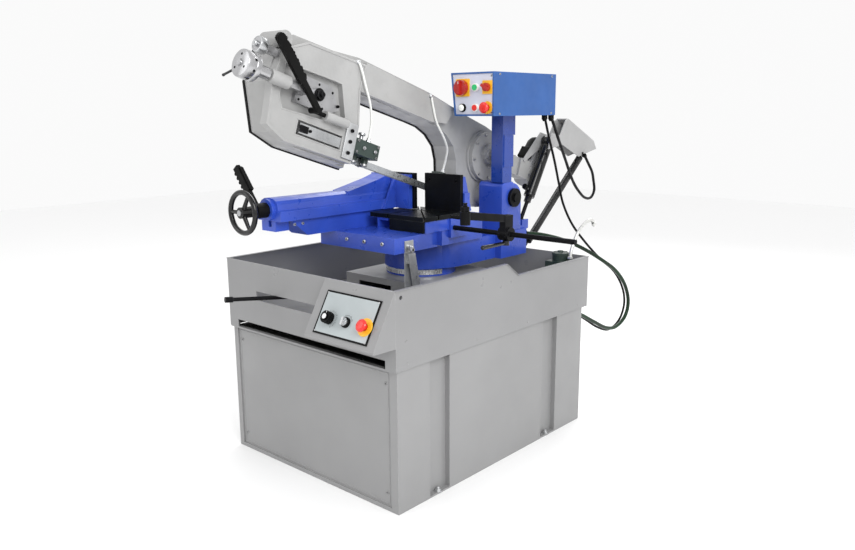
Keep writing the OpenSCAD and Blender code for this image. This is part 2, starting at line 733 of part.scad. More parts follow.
// ---------- bow ----------
module bow_outline() {
  polygon([[-1146, 93], [-1084, -50], [-990, -73], [-768, -72], [-765, 62], [-790, 174],
    [-410, 186], [-345, 186], [-285, 172], [-230, 140], [-198, 92], [-180, 40], [-150, -14],
    [-110, -46], [-60, -56], [-20, -56], [30, -44], [96, -2], [136, 78], [136, 150],
    [100, 215], [30, 262], [-60, 272], [-190, 276], [-420, 292], [-800, 290], [-850, 282],
    [-915, 272], [-1080, 262], [-1132, 215]]);
}
module housing_side() {
  polygon([[-1136, -16], [-1136, -38], [-1060, -70], [-768, -68], [-765, 62], [-790, 176],
    [-785, 268], [-1040, 252], [-1128, 200], [-1146, 93]]);
}
// Plan of the wall that widens the front housing towards the cover
module slanted_wall() {
  translate([0, 0, -72]) linear_extrude(134)
    polygon([[bow_x0, -775], [bow_x0, slant_y], [-26, slant_y - 27], [-26, -775]]);
}
module bow_casting() {
  color("lightgray") in_bow() difference() {
    union() {
      difference() {
        union() {
          prism_x(bow_x0, rear_x1) bow_outline();
          slanted_wall();
          // Round cap on the front corner
          bar_x(-30, bow_x1 + 12, -1136, 226, 25);
        }
        // Wheel wells, open towards the cover
        bar_x(bow_x0 - 1, rear_x1 - 10, rear_c[0], rear_c[1], band_r + 6);
        bar_x(bow_x0 - 1, rear_x1 - 10, front_c[0] , front_c[1], band_r + 6);
        // Hollow of the beam
        prism_x(bow_x0 - 1, rear_x1 - 10) polygon([[-880, 198], [-260, 200], [-150, 266],
          [-420, 280], [-790, 278], [-860, 266]]);
        // Upper and lower runs of the blade
        block([bow_x0 - 1, rear_x1 - 10], [-940, -50], [250, 264]);
        block([bow_x0 - 1, rear_x1 - 10], [-940, -760], [-66, -20]);
        block([bow_x0 - 1, rear_x1 - 10], [-260, -60], [-66, 30]);
      }
      // Front housing, deeper to the right
      difference() {
        prism_x(rear_x1, bow_x1) housing_side();
        // Recess around the tension slide
        prism_x(rear_x1 + 8, bow_x1 + 1) polygon([[-1108, 60], [-1108, 160], [-900, 172],
          [-874, 172], [-832, 70], [-900, 40], [-1090, 26]]);
        // Window and tunnel of the guide bar
        block([rear_x1 + 8, bow_x1 + 1], [-1020, -828], [-36, 10]);
        block([guide_x[0] - 0.5, guide_x[1] + 0.5], [-835, -760],
          [guide_z[0] - 0.5, guide_z[1] + 0.5]);
      }
      // Clamp plate over the tunnel
      block([bow_x1, bow_x1 + 7], [-818, -771], [-57, 62]);
      // Beam's deeper side
      prism_x(rear_x1, bow_x1) polygon([[-787, 178], [-410, 185], [-330, 202],
        [-300, 272], [-785, 276]]);
      // Rear housing's rim for the gearbox
      bar_x(rear_x1, rear_x1 + 10, -45, 150, 104);
      // Pivot boss
      bar_x(rear_x1, hinge_x[0] - 0.5, 0, 0, 45);
      // Boss of the tension screw
      bar_y(-1172, -1100, knob_c[0], knob_c[1], 21);
      block([bow_x1, knob_c[0]], [-1150, -1104], [84, 116]);
      // Boss of the guide clamp
      bar_y(-930, -832, 72, 50, 16);
      block([bow_x1, 72], [-930, -832], [36, 64]);
    }
    bar_x(rear_x1 - 1, hinge_x[0], 0, 0, shaft_r);
    bar_y(-1173, -1090, knob_c[0], knob_c[1], 8.1);
    bar_y(-931, -860, 72, 50, 7.1);
    bar_x(rear_x1 - 11, rear_x1 + 11, rear_c[0], rear_c[1], 20.1);
    // Slot for the idler's axle
    block([rear_x1 - 11, rear_x1 + 9], [front_c[0] - 40, front_c[0] + 40],
      [front_c[1] - 22, front_c[1] + 22]);
  }
}
module wheel_cover() {
  color("gray") in_bow() {
    prism_x(bow_x0 - 4, bow_x0) bow_outline();
    block([bow_x0 - 4, bow_x0], [-790, slant_y], [-72, 62]);
  }
}
module band_wheel(c) {
  difference() {
    bar_x(-15, 15, c[0], c[1], band_r);
    bar_x(-16, -4, c[0], c[1], band_r - 14);
    bar_x(6, 16, c[0], c[1], band_r - 14);
    for (a = [0:60:300]) bar_x(-16, 16, c[0] + 85 * cos(a), c[1] + 85 * sin(a), 26);
    bar_x(-30, 30, c[0], c[1], 20);
  }
  difference() {
    bar_x(-26, 16, c[0], c[1], 34);
    bar_x(-27, 17, c[0], c[1], 20);
  }
}
module idler_wheel() {
  color("gray") in_bow() band_wheel(front_c);
}
module drive_wheel() {
  color("gray") in_bow() {
    band_wheel(rear_c);
    bar_x(-26, 17, rear_c[0], rear_c[1], 20.5);
    bar_x(17, 48, rear_c[0], rear_c[1], 19.95);
  }
}
module tension_slide() {
  color("silver") in_bow() {
    difference() {
      prism_x(36, 52) polygon([[-1046, 60], [-1046, 150], [-905, 152], [-862, 88],
        [-905, 60]]);
      for (p = [[-1030, 138], [-960, 142], [-900, 134], [-1030, 72], [-930, 72]])
        bar_x(46, 53, p[0], p[1], 4.5);
    }
    bar_x(-24, 36, front_c[0], front_c[1], 19.95);
    bar_x(52, 66, front_c[0], front_c[1], 22);
    block([52, 60], [-1046, -1020], [86, 114]);
    block([60, 88], [-1094, -1020], [88, 112]);
  }
}
module tension_knob() {
  color("silver") in_bow() difference() {
    union() {
      bar_y(-1278, -1228, knob_c[0], knob_c[1], 42);
      bar_y(-1228, -1176, knob_c[0], knob_c[1], 19);
      bar_y(-1176, -1094.5, knob_c[0], knob_c[1], 8);
      bar_y(-1284, -1278, knob_c[0], knob_c[1], 9);
    }
    for (a = [0:90:270]) translate([knob_c[0], -1253, knob_c[1]]) rotate([0, a, 0])
      translate([0, 0, 34]) cylinder(h = 10, r = 5);
  }
  color([0.1, 0.1, 0.1]) in_bow() translate([knob_c[0], -1266, knob_c[1]])
    rotate([0, -108, 0]) translate([0, 0, 38]) cylinder(h = 60, r = 4);
}
module tension_gauge() {
  color("silver") in_bow() {
    bar_y(-1212, -1184, 40, 183, 24);
    bar_y(-1222, -1212, 40, 183, 9);
    difference() {
      block([32, 48], [-1184, -1122], [168, 192]);
      prism_x(rear_x1, bow_x1) housing_side();
    }
  }
}
module guide_bar() {
  color("silver") in_bow() {
    block(guide_x, [-1008, head_y[0]], guide_z);
  }
}
module guide_clamp_lever() {
  color([0.07, 0.07, 0.07]) in_bow() {
    bar_y(-990, -866, 72, 50, 7);
    bar_x(64, 108, -984, 50, 10);
    translate([100, -984, 50]) rotate([50, 0, 0]) {
      translate([-7, -9, 0]) cube([14, 18, 110]);
      translate([-7, -15, 104]) cube([14, 26, 156]);
      for (k = [0:5]) translate([-7, 11, 118 + 25 * k]) rotate([0, 90, 0])
        cylinder(h = 14, r = 7);
    }
  }
}
module roller_pair(y) {
  for (s = [-1, 1]) translate([s * 13, y, -52]) cylinder(h = 36, r = 12);
}
module front_guide_head() {
  color("darkslategray") in_bow() {
    block([-22, guide_x[1]], head_y, [-26, 26]);
    for (y = [head_y[0] + 42, head_y[1] - 20]) roller_pair(y);
  }
}
module rear_guide_head() {
  color("darkslategray") in_bow() difference() {
    union() {
      block([-24, 26], [-268, -150], [-18, 30]);
      roller_pair(-241);
    }
    prism_x(bow_x0 - 1, 18) polygon([[-214, -60], [-100, -60], [-100, 40], [-214, 40]]);
    prism_x(18, rear_x1) bow_outline();
  }
}
module blade() {
  y0 = front_c[0];
  y1 = rear_c[0];
  color("lightsteelblue") in_bow() {
    for (c = [front_c, rear_c]) difference() {
      bar_x(-13, 13, c[0], c[1], band_r + 1.2);
      bar_x(-14, 14, c[0], c[1], band_r + 0.3);
      if (c[0] == y0) block([-20, 20], [y0, y0 + 400], [-400, 600]);
      if (c[0] == y1) block([-20, 20], [y1 - 400, y1], [-400, 600]);
    }
    block([-13, 13], [y0, y1], [axle_z + band_r + 0.3, axle_z + band_r + 1.2]);
    block([-13, 13], [y0, -760], [axle_z - band_r - 1.2, axle_z - band_r - 0.3]);
    block([-13, 13], [-200, y1], [axle_z - band_r - 1.2, axle_z - band_r - 0.3]);
    block([-0.45, 0.45], [-761, -199], [blade_z, blade_z + blade_w]);
  }
}
module gearbox() {
  color("silver") in_bow() difference() {
    union() {
      bar_x(rear_x1 + 10, 57, -45, 150, 97);
      bar_x(57, 74, -45, 160, 39);
      block([57, 112], [-30, 170], [112, 186]);
      block([57, tail_x[0]], [100, 170], [112, 186]);
      on_motor() cylinder(h = 32, r = motor_r);
      on_motor() translate([0, 0, -22]) cylinder(h = 22, r = 34);
    }
    bar_x(rear_x1, 50, rear_c[0], rear_c[1], 20.1);
  }
}
module motor() {
  color("silver") in_bow() on_motor() {
    translate([0, 0, 32]) cylinder(h = 5, r = motor_r - 3);
    translate([0, 0, 37]) cylinder(h = 125, r = motor_r);
    translate([0, 0, 162]) cylinder(h = 24, r1 = motor_r, r2 = motor_r - 12);
  }
}
module tail_side(full) {
  polygon(concat(full ? [[121, 173], [109, 182], [195, 322]] : [[196, 250], [196, 322]],
    [[262, 327], [284, 400], [300, 414], [541, 384], [575, 356], [442, 284], [296, 298]],
    full ? [[194, 240]] : []));
}
module tail_bracket() {
  color("lightgray") in_bow() {
    prism_x(tail_x[0], tail_x[0] + 4) tail_side(true);
    prism_x(tail_x[1] - 4, tail_x[1]) tail_side(false);
    prism_x(tail_x[0], tail_x[1]) polygon([[300, 414], [541, 384], [575, 356], [572, 353],
      [540, 380], [300, 410]]);
    bar_x(tail_x[0] + 2, tail_x[1] - 2, tail_eye[0], tail_eye[1], eye_pin);
    bar_x(tail_x[0] + 2, tail_x[1] - 2, spring_pin[0], spring_pin[1], 4);
  }
}
module pivot_shaft() {
  color([0.1, 0.1, 0.11]) in_bow() {
    bar_x(rear_x1, hinge_x[1] + 2, 0, 0, shaft_r);
    bar_x(hinge_x[1] + 2, hinge_x[1] + 14, 0, 0, 37);
    bar_x(hinge_x[1] + 14, hinge_x[1] + 22, 0, 0, 18);
  }
}

// ---------- cables and hoses ----------
module loop_cable() {
  color([0.05, 0.05, 0.05]) sweep(smooth(loop_route, 2), 6, 10, [1, 0, 0]);
}
module supply_cable() {
  color([0.05, 0.05, 0.05]) sweep(smooth(supply_route, 2), 5, 10, [1, 0, 0]);
}
module hose_bundle() {
  color([0.1, 0.14, 0.1]) sweep(smooth(bundle_route, 2), 8, 10, [1, 0, 0]);
}
module coolant_hose_front() {
  color("white") in_bow() sweep(smooth(front_hose_route, 2), 4, 10, [1, 0, 0]);
}
module coolant_hose_rear() {
  color("white") in_bow() sweep(smooth(rear_hose_route, 2), 4, 10, [1, 0, 0]);
}

base_cabinet();
chip_tray();
control_housing();
panel_plate();
panel_bezels();
turntable_base();
angle_scale();
vise_bed();
fixed_jaw();
fixed_jaw_plate();
table_plates();
bed_bracket();
stop_rod();
coolant_pump();
feed_valve_knob();
mode_selector();
panel_estop();
swivel_lock_lever();
vise_slide();
moving_jaw_plate();
handwheel();
vise_screw();
quick_clamp_lever();
stop_arm();
stop_clamp_lever();
swivel_arm();
hinge_casting();
post();
control_box();
box_panel();
box_bezels();
main_switch();
speed_selector();
start_button();
stop_button();
box_estop();
cylinder_body();
cylinder_rod();
return_spring();
bow_casting();
wheel_cover();
idler_wheel();
drive_wheel();
tension_slide();
tension_knob();
tension_gauge();
guide_bar();
guide_clamp_lever();
front_guide_head();
rear_guide_head();
blade();
gearbox();
motor();
tail_bracket();
pivot_shaft();
loop_cable();
supply_cable();
hose_bundle();
coolant_hose_front();
coolant_hose_rear();
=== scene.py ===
import math

import bmesh
import bpy
from mathutils import Matrix, Vector


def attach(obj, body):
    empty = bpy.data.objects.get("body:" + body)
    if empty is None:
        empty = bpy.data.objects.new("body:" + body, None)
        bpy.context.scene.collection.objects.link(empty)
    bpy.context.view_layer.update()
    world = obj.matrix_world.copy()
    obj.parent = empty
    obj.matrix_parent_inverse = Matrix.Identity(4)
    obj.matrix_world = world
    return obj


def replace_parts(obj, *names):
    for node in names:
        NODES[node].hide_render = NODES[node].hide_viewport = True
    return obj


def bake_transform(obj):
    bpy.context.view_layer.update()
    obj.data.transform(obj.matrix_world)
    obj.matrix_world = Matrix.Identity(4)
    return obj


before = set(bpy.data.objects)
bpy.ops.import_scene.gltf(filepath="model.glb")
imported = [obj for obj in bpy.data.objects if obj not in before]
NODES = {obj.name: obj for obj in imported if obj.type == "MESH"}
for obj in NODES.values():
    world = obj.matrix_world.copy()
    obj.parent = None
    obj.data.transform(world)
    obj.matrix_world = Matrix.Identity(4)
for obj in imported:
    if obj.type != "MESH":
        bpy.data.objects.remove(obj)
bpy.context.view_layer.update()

# ---------------- camera, fitted to the cabinet's straight edges
AZIMUTH, ELEVATION, ROLL = (math.radians(a) for a in (41.82, 11.804, -0.346))
CAMERA_AT = (2.0465, -2.2094, 1.2695)
LENS = 33.44
back = Vector((math.sin(AZIMUTH) * math.cos(ELEVATION), -math.cos(AZIMUTH) * math.cos(ELEVATION),
               math.sin(ELEVATION)))
level = Vector((0, 0, 1)).cross(back).normalized()
upright = back.cross(level)
right = math.cos(ROLL) * level + math.sin(ROLL) * upright
up = -math.sin(ROLL) * level + math.cos(ROLL) * upright
cam_data = bpy.data.cameras.new("camera")
cam_data.sensor_width = 36.0
cam_data.lens = LENS
camera = bpy.data.objects.new("camera", cam_data)
bpy.context.scene.collection.objects.link(camera)
camera.matrix_world = Matrix.Translation(CAMERA_AT) @ Matrix((right, up, back)).transposed().to_4x4()
bpy.context.scene.camera = camera


# ---------------- materials
def material(name, color, rough=0.45, metal=0.0, vary=0.08, vary_scale=6.0, bump=0.15, grain=300.0,
             cast=0.0, brushed=None, edge=0.0, edge_color=(0.6, 0.6, 0.6), coat=0.0, dirt=0.0, spec=0.5,
             shade=None):
    """A mottled surface with fine bump, worn edges, and a nearly black box of painted shade where shade says."""
    m = bpy.data.materials.new(name)
    m.use_nodes = True
    t = m.node_tree
    n, link = t.nodes, t.links.new
    out = n["Principled BSDF"]
    out.inputs["Metallic"].default_value = metal
    out.inputs["Specular IOR Level"].default_value = spec
    if coat:
        out.inputs["Coat Weight"].default_value = coat
        out.inputs["Coat Roughness"].default_value = 0.12
    co = n.new("ShaderNodeTexCoord")

    def noise(scale, detail=3.0, squeeze=None):
        x = n.new("ShaderNodeTexNoise")
        x.inputs["Scale"].default_value = scale
        x.inputs["Detail"].default_value = detail
        if squeeze:
            mp = n.new("ShaderNodeMapping")
            mp.inputs["Scale"].default_value = squeeze
            link(co.outputs["Object"], mp.inputs["Vector"])
            link(mp.outputs["Vector"], x.inputs["Vector"])
        else:
            link(co.outputs["Object"], x.inputs["Vector"])
        return x

    def ramp(src, lo, hi, a, b):
        r = n.new("ShaderNodeMapRange")
        r.inputs["From Min"].default_value = lo
        r.inputs["From Max"].default_value = hi
        r.inputs["To Min"].default_value = a
        r.inputs["To Max"].default_value = b
        link(src, r.inputs["Value"])
        return r.outputs["Result"]

    def mix(fac, a, b, kind="MIX"):
        x = n.new("ShaderNodeMix")
        x.data_type = "RGBA"
        x.blend_type = kind
        for sock, v in ((0, fac), (6, a), (7, b)):
            if isinstance(v, (int, float)):
                x.inputs[sock].default_value = v
            elif isinstance(v, tuple):
                x.inputs[sock].default_value = (*v, 1.0)
            else:
                link(v, x.inputs[sock])
        return x.outputs[2]

    def math_node(operation, a, b):
        x = n.new("ShaderNodeMath")
        x.operation = operation
        link(a, x.inputs[0])
        if isinstance(b, float):
            x.inputs[1].default_value = b
        else:
            link(b, x.inputs[1])
        return x.outputs[0]

    dark = tuple(max(0.0, k * (1 - vary * 2.2)) for k in color)
    light = tuple(min(1.0, k * (1 + vary)) for k in color)
    big = noise(vary_scale, 4.0)
    col = mix(ramp(big.outputs["Fac"], 0.35, 0.65, 0.0, 1.0), dark, light)
    fine = noise(grain, 4.0, brushed)
    col = mix(ramp(fine.outputs["Fac"], 0.4, 0.7, 0.0, vary * 1.5), col, dark)
    if dirt:
        mott = noise(24.0, 8.0)
        col = mix(ramp(mott.outputs["Fac"], 0.52, 0.72, 0.0, dirt), col, tuple(k * 0.35 for k in color))
    if edge:
        bev = n.new("ShaderNodeBevel")
        bev.samples = 4
        bev.inputs["Radius"].default_value = 0.0035
        geo = n.new("ShaderNodeNewGeometry")
        dot = n.new("ShaderNodeVectorMath")
        dot.operation = "DOT_PRODUCT"
        link(bev.outputs["Normal"], dot.inputs[0])
        link(geo.outputs["Normal"], dot.inputs[1])
        patch = ramp(noise(45.0, 6.0).outputs["Fac"], 0.42, 0.62, 0.15, 1.0)
        e = ramp(dot.outputs["Value"], 0.995, 0.93, 0.0, edge)
        col = mix(math_node("MULTIPLY", patch, e), col, edge_color)
    # painted shade: inside the shade box the colour goes nearly black, standing for the shade inside a slot
    if shade:
        xyz = n.new("ShaderNodeSeparateXYZ")
        link(co.outputs["Object"], xyz.inputs["Vector"])
        fac = None
        for axis, lo, hi in shade:
            for limit, test in ((lo, "GREATER_THAN"), (hi, "LESS_THAN")):
                side_of = math_node(test, xyz.outputs[axis], limit)
                fac = side_of if fac is None else math_node("MULTIPLY", fac, side_of)
        col = mix(fac, col, (0.008, 0.008, 0.008))
    link(col, out.inputs["Base Color"])
    rn = noise(vary_scale * 5, 5.0)
    link(ramp(rn.outputs["Fac"], 0.3, 0.7, max(0.02, rough - 0.09), min(1.0, rough + 0.12)),
         out.inputs["Roughness"])
    b1 = n.new("ShaderNodeBump")
    b1.inputs["Strength"].default_value = bump
    b1.inputs["Distance"].default_value = 0.0004
    link(fine.outputs["Fac"], b1.inputs["Height"])
    last = b1
    if cast:
        b2 = n.new("ShaderNodeBump")
        b2.inputs["Strength"].default_value = cast
        b2.inputs["Distance"].default_value = 0.0012
        link(noise(90.0, 6.0).outputs["Fac"], b2.inputs["Height"])
        link(b1.outputs["Normal"], b2.inputs["Normal"])
        last = b2
    link(last.outputs["Normal"], out.inputs["Normal"])
    return m


# the inside of the drip-pan slot under the tray's front, painted nearly black as painted shade, in metres: axis,
# from, to
PAN_SLOT_SHADE = ((0, -0.399, 0.391), (1, -0.534, 0.5), (2, 0.472, 0.5095))
M = {
    # the cabinet and tray paints carry the painted shade inside the drip-pan slot
    "cabinet": material("cabinet_paint", (0.265, 0.265, 0.267), 0.42, shade=PAN_SLOT_SHADE, vary=0.03,
                        vary_scale=2.0, bump=0.06, grain=420, edge=0.3, edge_color=(0.46, 0.46, 0.46)),
    "tray": material("tray_paint", (0.25, 0.25, 0.253), 0.36, shade=PAN_SLOT_SHADE, vary=0.03, vary_scale=2.0,
                     bump=0.06, grain=420, edge=0.3, edge_color=(0.48, 0.48, 0.48)),
    "cast": material("bow_paint", (0.365, 0.365, 0.362), 0.42, vary=0.06, vary_scale=5.0, bump=0.25,
                     grain=240, cast=0.35, edge=0.35, edge_color=(0.56, 0.56, 0.55), dirt=0.12),
    "blue": material("blue_casting", (0.028, 0.078, 0.50), 0.34, vary=0.10, vary_scale=6.0, bump=0.2,
                     grain=260, cast=0.28, edge=0.35, edge_color=(0.09, 0.16, 0.62), coat=0.25, dirt=0.10),
    "post": material("blue_sheet", (0.008, 0.042, 0.28), 0.32, vary=0.06, bump=0.06, grain=420, edge=0.3,
                     edge_color=(0.05, 0.12, 0.42), coat=0.3),
    "box": material("box_paint", (0.018, 0.090, 0.31), 0.4, vary=0.05, bump=0.2, grain=700, edge=0.35,
                    edge_color=(0.12, 0.28, 0.7)),
    "panel": material("panel_paint", (0.60, 0.62, 0.72), 0.4, vary=0.05, bump=0.08, grain=500),
    "panel_grey": material("panel_face_paint", (0.40, 0.44, 0.45), 0.4, vary=0.04, bump=0.08, grain=500),
    "black": material("black_oxide", (0.004, 0.004, 0.005), 0.42, vary=0.3, bump=0.12, grain=350, edge=0.3,
                      edge_color=(0.10, 0.10, 0.11), spec=0.12),
    "jaw": material("jaw_steel", (0.003, 0.0035, 0.005), 0.45, vary=0.35, bump=0.3, grain=60,
                    brushed=(1, 14, 1), edge=0.35, edge_color=(0.05, 0.05, 0.055), spec=0.12),
    "table": material("table_iron", (0.004, 0.005, 0.006), 0.38, vary=0.35, bump=0.3, grain=90,
                      brushed=(12, 1, 1), edge=0.4, edge_color=(0.06, 0.065, 0.065), spec=0.12),
    "plastic": material("black_plastic", (0.005, 0.005, 0.005), 0.5, vary=0.3, bump=0.3, grain=900,
                        spec=0.12),
    "gloss_black": material("black_enamel", (0.010, 0.010, 0.011), 0.2, vary=0.3, bump=0.08, grain=200,
                            coat=0.6, spec=0.12),
    "steel": material("bright_steel", (0.50, 0.51, 0.52), 0.28, metal=1.0, vary=0.08, vary_scale=14,
                      bump=0.18, grain=60, brushed=(1, 1, 22), edge=0.4, edge_color=(0.9, 0.9, 0.9)),
    "milled": material("milled_steel", (0.42, 0.42, 0.43), 0.36, metal=0.9, vary=0.06, vary_scale=20,
                       bump=0.12, grain=50, brushed=(1, 1, 16), edge=0.3, edge_color=(0.85, 0.85, 0.85),
                       dirt=0.03),
    "turned": material("turned_steel", (0.46, 0.46, 0.47), 0.24, metal=0.95, vary=0.05, bump=0.08, grain=90,
                       brushed=(1, 14, 1)),
    "zinc": material("zinc_plate", (0.56, 0.57, 0.58), 0.35, metal=0.85, vary=0.08, vary_scale=20, bump=0.1,
                     grain=200, edge=0.3, edge_color=(0.95, 0.95, 0.95)),
    "dark_green": material("guide_paint", (0.022, 0.038, 0.032), 0.42, vary=0.25, bump=0.2, grain=300,
                           cast=0.2, edge=0.4, edge_color=(0.12, 0.15, 0.13), dirt=0.1),
    "wheel": material("wheel_iron", (0.30, 0.30, 0.31), 0.4, metal=0.9, vary=0.12, bump=0.2, grain=80,
                      brushed=(18, 1, 1)),
    "blade": material("blade_steel", (0.52, 0.54, 0.56), 0.3, metal=0.9, vary=0.05, vary_scale=18, bump=0.05,
                      grain=70, brushed=(1, 1, 30)),
    "teeth": material("teeth_steel", (0.30, 0.31, 0.33), 0.35, metal=1.0, vary=0.2, bump=0.2, grain=200),
    "motor": material("motor_paint", (0.36, 0.36, 0.37), 0.4, metal=0.2, vary=0.08, bump=0.15, grain=240,
                      cast=0.15, edge=0.3, edge_color=(0.5, 0.5, 0.5)),
    "cover": material("cover_paint", (0.36, 0.36, 0.36), 0.4, vary=0.05, bump=0.08, grain=400, edge=0.3,
                      edge_color=(0.6, 0.6, 0.6)),
    "red": material("red_plastic", (0.72, 0.018, 0.012), 0.28, vary=0.06, bump=0.05, grain=500, coat=0.4),
    "orange": material("orange_red_plastic", (0.44, 0.014, 0.010), 0.3, vary=0.06, bump=0.05, grain=500,
                       coat=0.3),
    "yellow": material("yellow_plate", (0.86, 0.46, 0.02), 0.36, vary=0.04, bump=0.05, grain=500),
    "green": material("green_plastic", (0.02, 0.50, 0.16), 0.28, vary=0.06, bump=0.05, grain=500, coat=0.4),
    "white": material("white_plastic", (0.80, 0.80, 0.78), 0.35, vary=0.04, bump=0.05, grain=500),
    "lamp": material("lamp_lens", (0.86, 0.88, 0.84), 0.15, vary=0.06, bump=0.2, grain=160, coat=0.6),
    "cable": material("cable_jacket", (0.010, 0.010, 0.011), 0.42, vary=0.3, bump=0.2, grain=500, spec=0.12),
    "green_hose": material("green_hose", (0.012, 0.035, 0.016), 0.32, vary=0.25, bump=0.15, grain=400,
                           coat=0.2, spec=0.12),
    "hose": material("white_hose", (0.78, 0.79, 0.76), 0.38, vary=0.05, bump=0.15, grain=400),
    "pipe": material("pipe_steel", (0.70, 0.70, 0.68), 0.3, metal=0.6, vary=0.08, bump=0.1, grain=150),
    "rubber": material("rubber", (0.014, 0.014, 0.014), 0.6, vary=0.3, bump=0.3, grain=300, spec=0.12),
    "scale": material("scale_strip", (0.80, 0.81, 0.82), 0.26, metal=0.9, vary=0.05, bump=0.1, grain=60,
                      brushed=(1, 1, 20)),
    # near-black for printed marks; the same colour is also painted shade where it stands for holes and vent
    # slots
    "ink_and_hole_shade": material("ink_and_hole_shade", (0.02, 0.02, 0.022), 0.5, vary=0.3, bump=0.05, grain=300, spec=0.12),
    "mark": material("white_marking", (0.75, 0.75, 0.75), 0.45, vary=0.06, bump=0.05, grain=300),
}

PLAIN = {
    "cabinet": ["base_cabinet"],
    "tray": ["chip_tray", "control_housing"],
    "plastic": ["panel_plate", "quick_clamp_lever", "guide_clamp_lever", "feed_valve_knob"],
    "blue": ["turntable_base", "vise_bed", "fixed_jaw", "vise_slide", "swivel_arm", "hinge_casting"],
    "scale": ["angle_scale"],
    "jaw": ["fixed_jaw_plate", "moving_jaw_plate"],
    "table": ["table_plates"],
    "zinc": ["bed_bracket"],
    "black": ["cylinder_rod", "stop_rod", "swivel_lock_lever", "stop_arm", "pivot_shaft"],
    "gloss_black": ["handwheel", "stop_clamp_lever", "cylinder_body"],
    "steel": ["vise_screw", "mode_selector", "guide_bar"],
    "milled": ["tension_slide", "tension_gauge"],
    "turned": ["tension_knob"],
    "post": ["post"],
    "box": ["control_box"],
    "panel": ["box_panel"],
    "cast": ["bow_casting", "gearbox"],
    "cover": ["wheel_cover", "tail_bracket"],
    "wheel": ["idler_wheel", "drive_wheel"],
    "dark_green": ["front_guide_head", "rear_guide_head", "coolant_pump"],
    "motor": ["motor"],
    "red": ["panel_estop", "box_estop", "stop_button"],
    "orange": ["main_switch", "speed_selector"],
    "green": ["start_button"],
    "blade": ["blade"],
}
for key, names in PLAIN.items():
    for name in names:
        slots = NODES[name].data.materials
        for i in range(len(slots)):
            slots[i] = M[key]
        if not len(slots):
            slots.append(M[key])

# ---------------- frames, in millimetres
def move(x, y, z):
    return Matrix.Translation((x, y, z))


def turn(axis, degrees):
    return Matrix.Rotation(math.radians(degrees), 4, axis)


PIVOT_Y, PIVOT_Z = 380, 922
BOW_RAISED = 17.6
ROW = Matrix.Scale(0.001, 4)
BOW = ROW @ move(0, PIVOT_Y, PIVOT_Z) @ turn("X", -BOW_RAISED)
# in the bow: the two wheels' centres, the front guide's rollers and the housing's outer face
IDLER_Y, DRIVE_Y, WHEEL_Z = -964.0, -30.0, 107.5
FRONT_ROLLERS = (-720, -666)
HOUSING_FACE = 57.5
CABINET_SIDE = 432
# the sloping control panel, its controls, and the heights of its face sheet and its marks
PANEL_TOP_Y, PANEL_TOP_Z = -551, 736
LEAN = math.degrees(math.atan2(97, 170))
VALVE_X, PANEL_MIDDLE_X, SELECTOR_X, PANEL_STOP_X = 213, 276, 285, 369
CONTROL_DROP = 127
SHEET, MARK = (2.9, 3.25), (3.2, 3.45)
# the control box's front and right side, and the places of its controls
BOX_FRONT, BOX_SIDE = 143.0, 270
SWITCH_X, BUTTON_X, SPEED_X = 125, 186, 240.5
UPPER_Z, LOWER_Z = 1346, 1273


def panel_at(x, drop):
    """A frame on the panel's sheet, drop millimetres down its slope, with z out of the panel."""
    lean = math.radians(LEAN)
    y, z = PANEL_TOP_Y - drop * math.sin(lean), PANEL_TOP_Z - drop * math.cos(lean)
    return ROW @ move(x, y, z) @ turn("X", 90 - LEAN)


def box_at(x, z):
    """A frame on the control box's front, with z out of the box."""
    return ROW @ move(x, BOX_FRONT, z) @ turn("X", 90)


def along(p, d, base=ROW):
    """A frame at p whose z axis points along d, both in the base frame's own millimetres."""
    aim = Vector(d).normalized().to_track_quat("Z", "Y").to_matrix().to_4x4()
    return base @ Matrix.Translation(p) @ aim


def side(y, z, x):
    """A frame in the bow at (x, y, z) whose z axis points out to the right."""
    return BOW @ move(x, y, z) @ turn("Y", 90)


